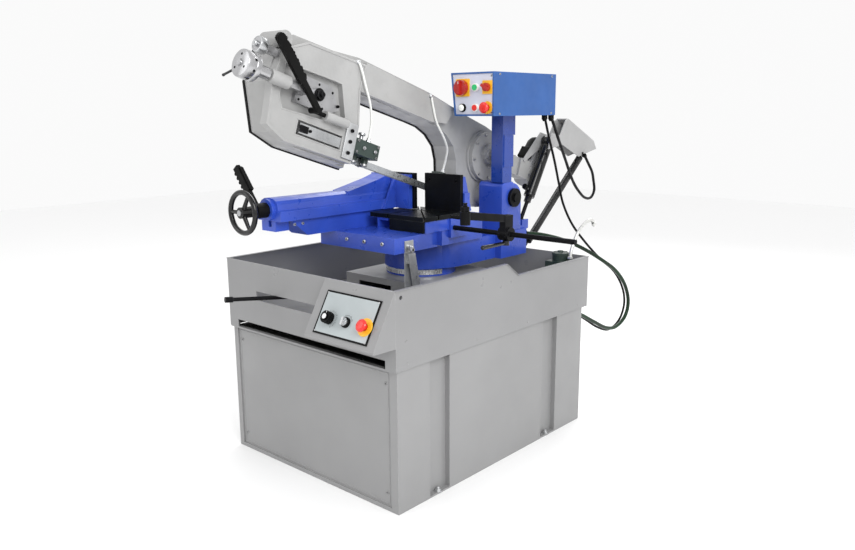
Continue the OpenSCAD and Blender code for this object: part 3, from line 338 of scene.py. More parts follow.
# ---------------- mesh building
class Shape:
    def __init__(self):
        self.bm = bmesh.new()

    def lathe(self, at, profile, n=40, loop=False):
        """Revolves (r, z) pairs about z. A loop joins its last pair to its first, and stays open."""
        turns = [2 * math.pi * k / n for k in range(n)]
        rings = []
        for r, z in profile:
            if r < 1e-6:
                rings.append([self.bm.verts.new(at @ Vector((0, 0, z)))])
            else:
                points = [at @ Vector((r * math.cos(a), r * math.sin(a), z)) for a in turns]
                rings.append([self.bm.verts.new(v) for v in points])
        for a, b in zip(rings, rings[1:] + (rings[:1] if loop else [])):
            for k in range(n):
                j = (k + 1) % n
                q = [a[k % len(a)], a[j % len(a)], b[j % len(b)], b[k % len(b)]]
                q = [v for i, v in enumerate(q) if v not in q[:i]]
                if len(q) > 2:
                    self.bm.faces.new(q)
        for ring, flip in ((rings[0], True), (rings[-1], False)):
            if len(ring) > 2 and not loop:
                self.bm.faces.new(ring[::-1] if flip else ring)
        return self

    def prism(self, at, pts, z0, z1, bevel=0.0):
        """Outline pts in the frame's x and y, from z0 to z1, with its edges eased."""
        lo = [self.bm.verts.new(Vector((x, y, z0))) for x, y in pts]
        hi = [self.bm.verts.new(Vector((x, y, z1))) for x, y in pts]
        faces = [self.bm.faces.new(lo[::-1]), self.bm.faces.new(hi)]
        n = len(pts)
        for k in range(n):
            j = (k + 1) % n
            faces.append(self.bm.faces.new((lo[k], lo[j], hi[j], hi[k])))
        verts = set(lo + hi)
        if bevel:
            edges = {e for f in faces for e in f.edges}
            r = bmesh.ops.bevel(self.bm, geom=list(edges), offset=bevel, segments=3, profile=0.6,
                                affect="EDGES", clamp_overlap=True)
            verts = {v for f in r["faces"] for v in f.verts} | {v for v in verts if v.is_valid}
            more = set()
            for v in verts:
                for f in v.link_faces:
                    more.update(f.verts)
            verts |= more
        for v in verts:
            v.co = at @ v.co
        return self

    def block(self, at, x, y, z, bevel=1.0):
        return self.prism(at, [(x[0], y[0]), (x[1], y[0]), (x[1], y[1]), (x[0], y[1])], z[0], z[1], bevel)

    def screw(self, at, r, h, socket=6):
        """A cap screw standing on z = 0, with a hex socket."""
        self.lathe(at, [(0, 0), (r, 0), (r, h - 0.25 * r), (r * 0.85, h), (r * 0.58, h)], 24)
        self.lathe(at, [(r * 0.58, h), (r * 0.52, h - 0.1), (r * 0.52, h * 0.5), (0, h * 0.5)], socket)
        return self

    def hexnut(self, at, r, h):
        self.lathe(at, [(0, 0), (r, 0), (r, h * 0.85), (r * 0.86, h), (0, h)], 6)
        self.lathe(at,
                   [(0, h), (r * 0.5, h), (r * 0.5, h + r * 0.5), (r * 0.4, h + r * 0.6), (0, h + r * 0.6)],
                   20)
        return self

    def tube(self, pts, r, sides=14, ribs=0.0, pitch=8.0):
        """Round tube through the points, which are in metres; r in metres. Ribs swell it every pitch mm."""
        pts = [Vector(p) for p in pts]
        ref = Vector((1, 0, 0))
        turns = [2 * math.pi * k / sides for k in range(sides)]
        rings = []
        run = 0.0
        for i, p in enumerate(pts):
            t = (pts[min(i + 1, len(pts) - 1)] - pts[max(i - 1, 0)]).normalized()
            a = ref - ref.dot(t) * t
            a = a.normalized() if a.length > 0.05 else t.orthogonal().normalized()
            ref = a
            b = t.cross(a)
            if i:
                run += (p - pts[i - 1]).length * 1000
            rr = r * (1 + ribs * math.cos(2 * math.pi * run / pitch))
            rings.append([self.bm.verts.new(p + rr * (math.cos(u) * a + math.sin(u) * b)) for u in turns])
        for p, q in zip(rings, rings[1:]):
            for k in range(sides):
                j = (k + 1) % sides
                self.bm.faces.new((p[k], p[j], q[j], q[k]))
        self.bm.faces.new(rings[0][::-1])
        self.bm.faces.new(rings[-1])
        return self

    def done(self, name, mat, body, smooth=35.0, slot=None):
        bmesh.ops.recalc_face_normals(self.bm, faces=self.bm.faces)
        me = bpy.data.meshes.new(name)
        self.bm.to_mesh(me)
        self.bm.free()
        me.materials.append(M[mat])
        if smooth:
            me.shade_smooth()
            me.set_sharp_from_angle(angle=math.radians(smooth))
        o = bpy.data.objects.new(name, me)
        bpy.context.scene.collection.objects.link(o)
        if body:
            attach(o, body)
        return o


def catmull(p, steps):
    """The same smoothing as the part's own routes."""
    out = []
    for i in range(len(p) - 1):
        a, b, c2, d = p[max(i - 1, 0)], p[i], p[i + 1], p[min(i + 2, len(p) - 1)]
        for k in range(steps):
            t = k / steps
            out.append(tuple(0.5 * (2 * b[j] + (c2[j] - a[j]) * t
                                    + (2 * a[j] - 5 * b[j] + 4 * c2[j] - d[j]) * t * t
                                    + (3 * b[j] - a[j] - 3 * c2[j] + d[j]) * t ** 3) for j in range(3)))
    out.append(p[-1])
    return out


# ---------------- cords
def cord_piece(name, route, r, mat, steps, base=ROW, ribs=0.0, bodies=("swivel",)):
    """A round cord along its route."""
    pts = [base @ Vector(p) for p in catmull(route, steps)]
    o = Shape().tube(pts, r * 0.001, 16, ribs, 5.0).done(name + "_tube", mat, None, smooth=60)
    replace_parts(o, name)
    if len(bodies) == 2:
        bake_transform(o)
    else:
        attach(o, bodies[0])


LOOP = [(262, 530, 1239), (258, 572, 1182), (240, 640, 1120), (222, 714, 1050), (208, 778, 985),
        (198, 830, 940), (196, 874, 905), (193, 920, 878), (190.5, 965, 868), (189, 998, 876),
        (189, 1016, 904.6), (189, 1006, 947), (189, 990, 987), (189, 951, 1030.6), (189, 916, 1068)]
SUPPLY = [(246, 508, 1240), (240, 550, 1160), (230, 612, 1060), (222, 664, 960), (218, 708, 870),
          (228, 770, 775), (262, 830, 690), (300, 900, 610), (326, 980, 545), (334, 1050, 460),
          (334, 1076, 380), (332, 1040, 310), (330, 950, 280), (328, 850, 310), (325, 740, 370),
          (318, 640, 425), (310, 543, 450)]
BUNDLE = [(178, 483.5, 764), (200, 522, 760), (232, 590, 744), (268, 670, 716), (308, 760, 670),
          (340, 850, 615), (354, 940, 560), (360, 1020, 485), (362, 1060, 400), (360, 1040, 330),
          (358, 960, 296), (356, 870, 310), (352, 760, 362), (346, 650, 415), (340, 543.5, 440)]
FRONT_HOSE = [(62.5, -826, 264), (69, -812, 242), (70, -780, 195), (64, -738, 145), (52, -706, 90),
              (42, -694, 27.5)]
REAR_HOSE = [(62.4, -447, 272), (62.4, -432, 246), (62.4, -392, 190), (60, -335, 150), (46, -285, 118),
             (28, -260, 84), (18, -250, 56), (16, -250, 31)]
cord_piece("loop_cable", LOOP, 6, "cable", 6, bodies=("swivel", "bow"), ribs=0.03)
cord_piece("supply_cable", SUPPLY, 5, "cable", 6, bodies=("swivel", "base"))
cord_piece("hose_bundle", BUNDLE, 8, "green_hose", 6, bodies=("swivel", "base"))
cord_piece("coolant_hose_front", FRONT_HOSE, 4, "hose", 8, base=BOW, bodies=("bow", "guide_bar"))
cord_piece("coolant_hose_rear", REAR_HOSE, 4, "hose", 8, base=BOW, bodies=("bow",))


# ---------------- blade
def make_blade():
    """The toothed band round both wheels, turned edge down between the two guides."""
    y0, y1, zc, r = IDLER_Y, DRIVE_Y, WHEEL_Z, 150.75
    guides, quarter_turn = (-862, -95), 110
    half_width, gullet, tooth_line, half_thick = 13.5, 2.6, 8.5, 0.45
    straight, arc = y1 - y0, math.pi * r
    total = 2 * (straight + arc)

    def at(s):
        """The band's place and direction after s, and its y on the lower run."""
        s %= total
        if s < straight:
            return Vector((0, y0 + s, zc - r)), Vector((0, 1, 0)), y0 + s
        s -= straight
        if s < arc:
            a = s / r
            way = Vector((0, math.cos(a), math.sin(a)))
            return Vector((0, y1 + r * math.sin(a), zc - r * math.cos(a))), way, None
        s -= arc
        if s < straight:
            return Vector((0, y1 - s, zc + r)), Vector((0, -1, 0)), None
        s -= straight
        a = s / r
        way = Vector((0, -math.cos(a), -math.sin(a)))
        return Vector((0, y0 - r * math.sin(a), zc + r * math.cos(a))), way, None

    def twist(y):
        """How far the band is turned from flat, in radians."""
        if y is None:
            return 0.0
        k = min((y - guides[0]) / quarter_turn, (guides[1] - y) / quarter_turn)
        k = min(1.0, max(0.0, k))
        return math.pi / 2 * k * k * (3 - 2 * k)

    tooth_pitch = 6.4
    n = 2 * round(total / tooth_pitch)
    bm = bmesh.new()
    rings = []
    for i in range(n):
        p, t, y = at(total * i / n)
        f = twist(y)
        flat = t.cross(Vector((1, 0, 0)))
        w = math.cos(f) * Vector((1, 0, 0)) + math.sin(f) * flat
        nrm = t.cross(w).normalized()
        lift = 0.75 * math.sin(f)
        p = p + Vector((0, 0, lift))
        tip = half_width - (0 if i % 2 else gullet)
        section = ((-half_width, -half_thick), (tooth_line, -half_thick), (tip, -0.4),
                   (tip, 0.4), (tooth_line, half_thick), (-half_width, half_thick))
        rings.append([bm.verts.new(BOW @ (p + w * d + nrm * h)) for d, h in section])
    for a, b in zip(rings, rings[1:] + rings[:1]):
        for k in range(6):
            j = (k + 1) % 6
            bm.faces.new((a[k], a[j], b[j], b[k])).material_index = 1 if k in (1, 2, 3) else 0
    bmesh.ops.recalc_face_normals(bm, faces=bm.faces)
    me = bpy.data.meshes.new("saw_band")
    bm.to_mesh(me)
    bm.free()
    me.materials.append(M["blade"])
    me.materials.append(M["teeth"])
    o = bpy.data.objects.new("saw_band", me)
    bpy.context.scene.collection.objects.link(o)
    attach(o, "bow")
    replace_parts(o, "blade")


make_blade()


# ---------------- return spring
def make_spring():
    a, b = Vector((175, 484, 702)), Vector((150, 1002, 1101))
    ax = (b - a).normalized()
    full = (b - a).length
    f = along(a, ax)
    pts = []
    z0, z1, turns = 42.0, full - 82.0, 84
    for i in range(turns * 12 + 1):
        t = 2 * math.pi * i / 12
        pts.append(f @ Vector((13 * math.cos(t), 13 * math.sin(t), z0 + (z1 - z0) * i / (turns * 12))))
    sh = Shape().tube(pts, 0.0026, 6)
    for lo, hi in ((0.0, z0 + 6), (z1 - 6, full - 0.5)):
        sh.lathe(f, [(0, lo), (4.6, lo), (5, lo + 1), (5, hi - 1), (4.6, hi), (0, hi)], 20)
    sh.lathe(f, [(0, z0 - 2), (15, z0 - 1), (15.6, z0 + 4), (12, z0 + 12), (5, z0 + 16)], 28)
    sh.lathe(f, [(5, z1 - 16), (12, z1 - 12), (15.6, z1 - 4), (15, z1 + 1), (0, z1 + 2)], 28)
    o = sh.done("coil_spring", "gloss_black", None, smooth=50)
    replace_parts(o, "return_spring")
    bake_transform(o)


make_spring()

# ---------------- motor, gearbox and cylinder
MOTOR = BOW @ move(65, 219.5, 128.4) @ turn("X", -24)
sh = Shape()
fins = []
for k in range(30):
    a = 2 * math.pi * k / 30
    for da, r in ((-0.062, 48.5), (-0.034, 54.6), (0.034, 54.6), (0.062, 48.5)):
        fins.append((r * math.cos(a + da), r * math.sin(a + da)))
sh.prism(MOTOR, fins, 44, 122)
sh.lathe(MOTOR, [(30, 32), (52, 32), (54.5, 34), (54.5, 44), (50, 46)], 48)
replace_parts(sh.done("motor_frame", "motor", "bow", 30), "motor")
sh = Shape()
sh.lathe(MOTOR, [(50, 118), (54.8, 120), (54.8, 168), (50, 182), (44, 186), (43, 184.5), (0, 184.5)], 48)
for k in range(10):
    a = 2 * math.pi * k / 10
    sh.block(MOTOR @ Matrix.Rotation(a, 4, "Z"), (14, 38), (-2.2, 2.2), (184, 185.8), 0.6)
sh.lathe(MOTOR, [(0, 186), (9, 186), (9, 184)], 24)
sh.done("motor_fan_cover", "plastic", "bow", 35, "motor_grey")
sh = Shape()
sh.block(MOTOR @ turn("Z", -90), (-28, 28), (-2, 2), (54, 56), 0.3)
sh.block(MOTOR, (-30, 30), (-68, -44), (64, 118), 4)
for x in (-24, 24):
    for z in (70, 112):
        sh.screw(MOTOR @ move(x, -68, z) @ turn("X", 90), 3, 3)
sh.done("motor_terminal_box", "plastic", "bow", 35, "motor_grey")

GEAR_X, GEAR_Y, GEAR_Z = 74, -45, 160
FLANGE_R = 86
sh = Shape()
for k in range(8):
    a = math.radians(22.5 + 45 * k)
    y, z = GEAR_Y + FLANGE_R * math.cos(a), 150 + FLANGE_R * math.sin(a)
    under_the_motor = y > -36 and 105 < z < 192
    if not under_the_motor:
        sh.screw(side(y, z, 57), 5.5, 5)
for k in range(5):
    a = math.radians(90 + 72 * k)
    sh.screw(side(GEAR_Y + 30 * math.cos(a), GEAR_Z + 30 * math.sin(a), GEAR_X), 3.6, 3.5)
sh.lathe(side(GEAR_Y, GEAR_Z, GEAR_X), [(24, 0), (23, 2), (16, 2), (14, 0.6), (8, 0.6), (7, 4), (0, 4.5)],
         40)
sh.done("gearbox_bolts", "milled", "bow")
sh = Shape()
for z in (118, 140, 160, 180):
    sh.block(BOW, (60, 108), (-31.5, -29.5), (z - 2, z + 2), 0.8)
for x in (68, 100):
    for y in (10, 80):
        sh.screw(BOW @ move(x, y, 186), 5, 5)
sh.done("gearbox_ribs", "cast", "bow")

# the cylinder's lower eye, its lean and the distance to its upper eye
CYL = ROW @ move(150, 488, 808) @ turn("X", -31.3006)
CYL_LENGTH = 379.19
sh = Shape()
sh.lathe(CYL,
         [(0, 340), (8.1, 340), (8.1, 92), (14, 92), (14, 117.8), (22.4, 117.8), (23.4, 119), (23.4, 128),
          (22.5, 129), (22.5, 131), (23.4, 132), (23.4, 326), (22.5, 327), (22.5, 329), (23.4, 330),
          (23.4, 351), (21.5, 357), (0, 358.5)], 48)
sh.lathe(CYL @ move(0, 0, CYL_LENGTH) @ turn("Y", 90),
         [(12, -19.8), (22.6, -19.8), (24, -18), (24, 18), (22.6, 19.8), (12, 19.8)], 48, loop=True)
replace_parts(sh.done("lift_cylinder", "gloss_black", "cylinder_body", 40), "cylinder_body")
sh = Shape()
prof = [(14.2, 93)]
for k in range(4):
    prof += [(15.5, 95 + 6 * k), (14.3, 98 + 6 * k)]
sh.lathe(CYL, prof + [(14.2, 117)], 32)
sh.lathe(CYL @ move(0, -22, 140) @ turn("X", 90),
         [(0, 0), (7, 0), (7, 6), (5, 8), (5, 14), (6.5, 15), (6.5, 20), (0, 21)], 20)
sh.done("cylinder_fittings", "gloss_black", "cylinder_body")
sh = Shape()
sh.lathe(CYL @ move(0, -40, 140) @ turn("X", 90), [(0, 0), (11, 0), (12, 1), (12, 12), (10, 14), (0, 14)],
         24)
sh.done("cylinder_valve_cap", "plastic", "cylinder_body")

# ---------------- hinge casting
def hinge_outline(front):
    """The hinge casting from the side: round behind the pivot, with a round front corner."""
    foot, top, back_r, corner = 788, 985, 57, 18
    pts = [(PIVOT_Y + back_r, foot)]
    for a in (math.radians(d) for d in range(0, 85, 7)):
        pts.append((PIVOT_Y + back_r * math.cos(a), PIVOT_Z + back_r * math.sin(a)))
    pts.append((PIVOT_Y, top))
    for a in (math.radians(d) for d in range(0, 91, 15)):
        pts.append((front + corner - corner * math.sin(a), top - corner + corner * math.cos(a)))
    return pts + [(front, foot)]


def star(pts, angles, shrink=0.0, cy=PIVOT_Y, cz=PIVOT_Z):
    """The outline's points at the given angles about the pivot."""
    out = []
    for a in angles:
        dy, dz = math.cos(a), math.sin(a)
        best = 0.0
        for (y0, z0), (y1, z1) in zip(pts, pts[1:] + pts[:1]):
            ey, ez = y1 - y0, z1 - z0
            det = dy * -ez + ey * dz
            if abs(det) < 1e-9:
                continue
            t = ((y0 - cy) * -ez + ey * (z0 - cz)) / det
            u = (dy * (z0 - cz) - dz * (y0 - cy)) / det
            if t > 0 and -1e-6 <= u <= 1 + 1e-6:
                best = max(best, t)
        out.append((cy + dy * (best - shrink), cz + dz * (best - shrink)))
    return out


wide, narrow = hinge_outline(308), hinge_outline(322)
corners = {round(math.atan2(z - PIVOT_Z, y - PIVOT_Y), 5) for y, z in wide + narrow}
angles = sorted(corners | {round(math.radians(k * 5), 5) for k in range(-35, 36)})
sh = Shape()
loops = []
for x, pts, shrink in ((62, narrow, 3.5), (63.2, narrow, 1.0), (65.5, narrow, 0.0), (76, narrow, 0.0),
                       (76, wide, 0.0), (186.5, wide, 0.0), (188.8, wide, 1.0), (190, wide, 3.5)):
    loops.append([sh.bm.verts.new(ROW @ Vector((x, y, z))) for y, z in star(pts, angles, shrink)])
bore = [(PIVOT_Y + 25.1 * math.cos(a), PIVOT_Z + 25.1 * math.sin(a)) for a in angles]
for x in (190, 62):
    loops.append([sh.bm.verts.new(ROW @ Vector((x, y, z))) for y, z in bore])
loops.append(loops[0])
for a, b in zip(loops, loops[1:]):
    for k in range(len(angles)):
        j = (k + 1) % len(angles)
        if len({a[k], a[j], b[j], b[k]}) == 4:
            sh.bm.faces.new((a[k], a[j], b[j], b[k]))
sh.block(ROW, (-30, 66), (318, 430), (788, 800), 2)
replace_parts(sh.done("hinge_body", "blue", "swivel", 40), "hinge_casting")

# ---------------- bow details
SIDE = BOW @ turn("Z", 90) @ turn("X", 90)
# in SIDE, x runs along the blade, y is square to it, and z is out to the right
HOUSING = [(-1136, -16), (-1136, -38), (-1060, -70), (-768, -68), (-765, 62), (-790, 176), (-785, 268),
           (-1040, 252), (-1128, 200), (-1146, 93)]
WINDOW = [(-1092, 21), (-898, 35), (-827, 70), (-871, 176), (-900, 177), (-1113, 165), (-1113, 60)]
COVER = [(-1146, 93), (-1084, -50), (-990, -73), (-694, -72), (-694, 62), (-765, 62), (-790, 174),
         (-410, 186), (-345, 186), (-285, 172), (-230, 140), (-198, 92), (-180, 40), (-150, -14),
         (-110, -46), (-60, -56), (-20, -56), (30, -44), (96, -2), (136, 78), (136, 150), (100, 215),
         (30, 262), (-60, 272), (-190, 276), (-420, 292), (-800, 290), (-850, 282), (-915, 272),
         (-1080, 262), (-1132, 215)]


def inset(pts, d):
    """The outline moved d to its left, so inwards where it runs anticlockwise."""
    out = []
    n = len(pts)
    for i in range(n):
        a, b, e = Vector(pts[i - 1]), Vector(pts[i]), Vector(pts[(i + 1) % n])
        u, v = (b - a).normalized(), (e - b).normalized()
        nu, nv = Vector((-u.y, u.x)), Vector((-v.y, v.x))
        m = (nu + nv).normalized()
        out.append(tuple(b + m * (d / max(0.35, m.dot(nu)))))
    return out


def winding(pts):
    """1 for an outline that runs anticlockwise, and -1 for a clockwise one."""
    area = sum(pts[i - 1][0] * pts[i][1] - pts[i][0] * pts[i - 1][1] for i in range(len(pts)))
    return 1 if area > 0 else -1


def rim(sh, at, pts, width, z0, z1, ease=0.8):
    """A raised lip that follows an outline, inside it."""
    inward = winding(pts)
    n = len(pts)
    section = ((0, z0), (0, z1 - ease), (ease, z1), (width - ease, z1), (width, z1 - ease), (width, z0))
    rows = []
    for step, z in section:
        outline = inset(pts, step * inward) if step else pts
        rows.append([sh.bm.verts.new(at @ Vector((x, y, z))) for x, y in outline])
    for a, b in zip(rows, rows[1:]):
        for k in range(n):
            j = (k + 1) % n
            sh.bm.faces.new((a[k], a[j], b[j], b[k]))


sh = Shape()
rim(sh, SIDE, HOUSING, 7, HOUSING_FACE, HOUSING_FACE + 3)
rim(sh, SIDE, WINDOW, 5, HOUSING_FACE, HOUSING_FACE + 2)
rim(sh, SIDE, [(-1024, -40), (-824, -40), (-824, 14), (-1024, 14)], 4, HOUSING_FACE, HOUSING_FACE + 2)
sh.done("housing_rim", "cast", "bow")

sh = Shape()
rim(sh, SIDE, inset(COVER, -3.5 * winding(COVER)), 5.5, -88.5, -79)
sh.done("cover_seal", "rubber", "bow")

sh = Shape()
for y, z in ((-1030, 138), (-960, 142), (-900, 134), (-1030, 72), (-930, 72)):
    sh.screw(side(y, z, 46), 4.4, 7)
for z in (38, 1, -37):
    sh.screw(side(-797, z, 65.4), 6.4, 6)
sh.hexnut(side(IDLER_Y, WHEEL_Z, 66), 17, 12)
sh.lathe(side(IDLER_Y, WHEEL_Z, 66), [(0, 0), (21, 0), (21, 2), (17, 2.2)], 32)
sh.screw(side(-870, 98, 52), 5, 7)
sh.done("housing_bolts", "black", "bow")

sh = Shape()
sh.block(SIDE, (-819.2, -770), (-58, 63), (58.2, 65.6), 1.5)
sh.done("guide_clamp_plate", "zinc", "bow")
sh = Shape()
sh.block(SIDE, (-1006, -973), (-24, -2), (55.9, 61), 1.2)
sh.screw(side(-963, -12, 56), 5, 5)
sh.done("guide_bar_stop", "black", "guide_bar")

sh = Shape()
GAUGE = BOW @ move(40, -1212, 183) @ turn("X", 90)
sh.lathe(GAUGE,
         [(24.2, -26), (25, -24), (25, -2), (24, 0.6), (21, 0.8), (20.4, -0.6), (9.2, -0.6), (9.2, 9.6),
          (8.2, 11.2), (0, 11.2)], 48)
sh.lathe(GAUGE @ move(0, 0, 11), [(4, 0), (4, 1.2), (0, 1.2)], 6)
sh.done("gauge_face", "steel", "bow", slot="bright_steel")
sh = Shape()
for k in range(15):
    a = 225 - 19.3 * k
    sh.block(GAUGE @ turn("Z", a), (15.5 if k % 2 else 14, 19.4), (-0.45, 0.45), (-0.62, -0.1), 0.1)
sh.block(GAUGE @ turn("Z", 150), (9, 17), (-0.6, 0.6), (-0.3, 0.2), 0.1)
sh.done("gauge_marks", "ink_and_hole_shade", "bow", slot="bright_steel")

KNOB_X, KNOB_Z = 76, 100
KN = BOW @ move(KNOB_X, -1228, KNOB_Z) @ turn("X", 90)
sh = Shape()
sh.lathe(KN,
         [(19, 0), (38, 0), (41.4, 1.6), (42.3, 4), (42.3, 18), (41.6, 19), (42.3, 20), (42.3, 46),
          (41, 49.4), (38, 50.6), (12, 50.6), (11.4, 49.6), (10.4, 50.6), (9.6, 50.6), (9, 56.4), (0, 56.4)],
         64)
sh.lathe(KN, [(8.1, -52), (16, -52), (19, -49), (19, -2), (19, 0)], 40)
th = [(0, -133.5), (6.6, -133.5)]
for k in range(52):
    th += [(7.2, -132.5 + 1.55 * k), (8.1, -131.7 + 1.55 * k)]
sh.lathe(KN, th + [(8.1, -50)], 28)
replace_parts(sh.done("tension_handwheel", "turned", "tension_knob"), "tension_knob")
sh = Shape()
# the tommy-bar holes are thin dark discs on the rim: painted shade for the holes' insides; the three screws are
# black
for k in range(8):
    a = math.radians(20 + 45 * k)
    out = Vector((math.cos(a), 0, math.sin(a)))
    f = along(Vector((KNOB_X, -1253, KNOB_Z)) + 42.1 * out, out, BOW)
    sh.lathe(f, [(0, 0.1), (4.4, 0.1), (4.6, 0.35), (0, 0.35)], 24)
for k in range(3):
    a = math.radians(90 + 120 * k)
    sh.screw(KN @ move(26 * math.cos(a), 26 * math.sin(a), 49.4), 4, 1.9)
sh.done("tension_handwheel_holes", "ink_and_hole_shade", "tension_knob", slot="bright_steel")
sh = Shape()
sh.lathe(along((KNOB_X, -1266, KNOB_Z), (-0.951, 0, -0.309), BOW),
         [(3, 39), (3.6, 40), (3.8, 92), (4.6, 93), (4.6, 97), (3, 98), (0, 98)], 20)
sh.done("tension_tommy_bar", "gloss_black", "tension_knob")

for nm, ys, body in (("front", FRONT_ROLLERS, "guide_bar"), ("rear", (-241,), "bow")):
    sh = Shape()
    for y in ys:
        for s1 in (-13, 13):
            sh.lathe(BOW @ move(s1, y, -53.2),
                     [(0, 0), (7, 0), (7, 1.2), (11.2, 1.2), (12.4, 2.4), (12.4, 9), (11.2, 10.2),
                      (9, 10.2)], 32)
            sh.screw(BOW @ move(s1, y, -53.0) @ turn("X", 180), 4, 2.5)
    sh.done(nm + "_guide_bearings", "milled", body, slot="grey_steel")
sh = Shape()
for y in (-752, -656):
    for z in (-19, 19):
        sh.screw(side(y, z, 56), 4.6, 4.5)
for y in FRONT_ROLLERS:
    sh.hexnut(side(y, 0, 56), 7, 5)
sh.done("front_guide_bolts", "milled", "guide_bar", slot="bright_steel")
sh = Shape()
sh.lathe(BOW @ move(42, -694, 26), [(0, 0), (9, 0), (9, 7), (6.5, 9), (6.5, 14), (5.2, 17), (4.3, 17)], 6)
sh.lathe(BOW @ move(12, -702, 26), [(0, 0), (9, 0), (9, 8), (7, 10), (7, 20), (5, 23), (0, 23)], 24)
sh.lathe(BOW @ move(12, -702, 49), [(0, 0), (12, 0), (13, 1), (13, 7), (12, 8), (0, 8)], 20)
sh.done("guide_hose_fittings", "steel", "guide_bar")
sh = Shape()
sh.lathe(BOW @ move(16, -250, 30), [(0, 0), (8.5, 0), (8.5, 5), (6.5, 6.5), (6.5, 11), (5.2, 14), (4.3, 14)],
         6)
sh.done("rear_guide_hose_fitting", "steel", "bow")
sh = Shape()
for y, z in ((-826, 264), (-447, 272)):
    sh.lathe(BOW @ move(57.6, y, z) @ turn("Y", 90), [(0, 0), (9, 0), (9, 5), (7, 7.5), (4, 9), (0, 9.4)], 6)
sh.done("hose_unions", "zinc", "bow")

# ---------------- clamp levers
def grip(at, name, body, size):
    """A moulded grip along z. Its size is its half width, half thickness, bottom and top."""
    w, t, z0, z1 = size
    waves = 7
    steps = waves * 6
    pts = [(-w, z0)]
    for k in range(steps + 1):
        u = k / steps
        pts.append((w - 3 + 3.4 * abs(math.sin(math.pi * waves * u)), z0 + (z1 - z0) * u))
    pts += [(w * 0.3, z1 + w * 0.5), (-w * 0.6, z1 + w * 0.3), (-w, z1 - 4)]
    Shape().prism(at @ turn("X", 90), pts, -t, t).done(name, "plastic", body, 30, "black_knob")


grip(BOW @ move(100, -984, 50) @ turn("X", 50) @ turn("Z", 90),
     "guide_lever_grip", "guide_clamp_lever", (15.5, 7.4, 106, 258))
VISE_LEVER = ROW @ move(-170, -585, 934) @ turn("Y", -38)
grip(VISE_LEVER, "vise_lever_grip", "quick_clamp_lever", (15, 7.5, 80, 174))
grip(VISE_LEVER @ turn("Z", 180), "vise_lever_grip_back", "quick_clamp_lever", (15, 7.3, 80, 174))

# ---------------- vise, table and stop details
sh = Shape()
for x in (30, 160):
    sh.screw(ROW @ move(x, 66, 1007) @ turn("X", 90), 6.4, 5)
sh.done("jaw_screws", "black", "base", slot="black_steel")

sh = Shape()
for k in range(37):
    a = -188 + 4.9 * k
    big = k % 5 == 0
    f = ROW @ move(0, 40, 671 if big else 669) @ turn("Z", a)
    sh.block(f, (134.3, 134.95), (-0.55, 0.55), (-6.5, 6.5) if big else (-4.5, 3), 0.1)
sh.done("scale_marks", "ink_and_hole_shade", "base", slot="scale_silver")

sh = Shape()
for x in (-60, 30, 120):
    sh.screw(ROW @ move(x, -289, 812) @ turn("X", 90), 7, 5)
for y in (-476, -440):
    sh.screw(ROW @ move(-124, y, 880) @ turn("Y", 90), 5.5, 5)
sh.screw(ROW @ move(192, -218, 790) @ turn("Y", 90), 9, 7)
sh.hexnut(ROW @ move(188, -218, 800) @ turn("Y", 90), 10, 6)
sh.screw(ROW @ move(192, -189, 600) @ turn("Y", 90), 7, 5)
sh.done("bed_bolts", "zinc", "base", slot="bright_steel")

sh = Shape()
for x in (410, 440):
    sh.screw(ROW @ move(x, -9, 842) @ turn("X", 90), 5, 4)
sh.lathe(ROW @ move(425, -211, 942), [(0, 0), (13, 0), (15, 2), (15, 14), (13, 16), (0, 16)], 6)
sh.lathe(ROW @ move(425, -211, 958), [(7.4, 0), (7.4, 4), (6.2, 5), (6.2, 8), (7.4, 9), (7.4, 12), (0, 13)],
         20)
sh.done("stop_arm_screws", "black", "stop_arm")

# ---------------- panels
sh = Shape()
for dx in (-114, 114):
    for dy in (-64, 64):
        sh.screw(panel_at(PANEL_MIDDLE_X, 109) @ move(dx, dy, 3), 3.2, 1.8)
sh.done("panel_screws", "zinc", "base", slot="bright_steel")
sh = Shape()
for k in range(23):
    a = 225 - 13.5 * k
    sh.block(panel_at(VALVE_X, CONTROL_DROP) @ turn("Z", a), (23, 27 if k % 2 else 29), (-0.5, 0.5), MARK, 0.1)
for a in range(20, 161, 10):
    at = panel_at(SELECTOR_X, CONTROL_DROP) @ turn("Z", a)
    sh.block(at, (22, 24 if a % 30 else 26), (-0.9, 0.9), MARK, 0.1)
sh.done("panel_marks", "ink_and_hole_shade", "base", slot="black_plate")
sh = Shape()
f = panel_at(PANEL_MIDDLE_X, CONTROL_DROP)
cut = ((-63, 10.0), (9, 11.8), (93, 14.0))
sh.block(f, (-116, 116), (14, 84), SHEET, 0)
sh.block(f, (-116, 116), (-48, -14), SHEET, 0)
edges = [-116] + [v for c0, h in cut for v in (c0 - h, c0 + h)] + [116]
for k in range(0, len(edges), 2):
    sh.block(f, (edges[k], edges[k + 1]), (-14, 14), SHEET, 0)
for c0, h in cut[:2]:
    for s1 in (-1, 1):
        sh.block(f, (c0 - h, c0 + h), (h, 14) if s1 > 0 else (-14, -h), SHEET, 0)
sh.done("panel_face", "panel_grey", "base", slot="black_plate")
sh = Shape()
sh.block(panel_at(VALVE_X, CONTROL_DROP), (-0.9, 0.9), (4, 19), (30.2, 30.7), 0.2)
sh.lathe(panel_at(VALVE_X, CONTROL_DROP), [(9, 34.2), (8, 35), (0, 35)], 32)
sh.done("valve_pointer", "mark", "feed_valve_knob")

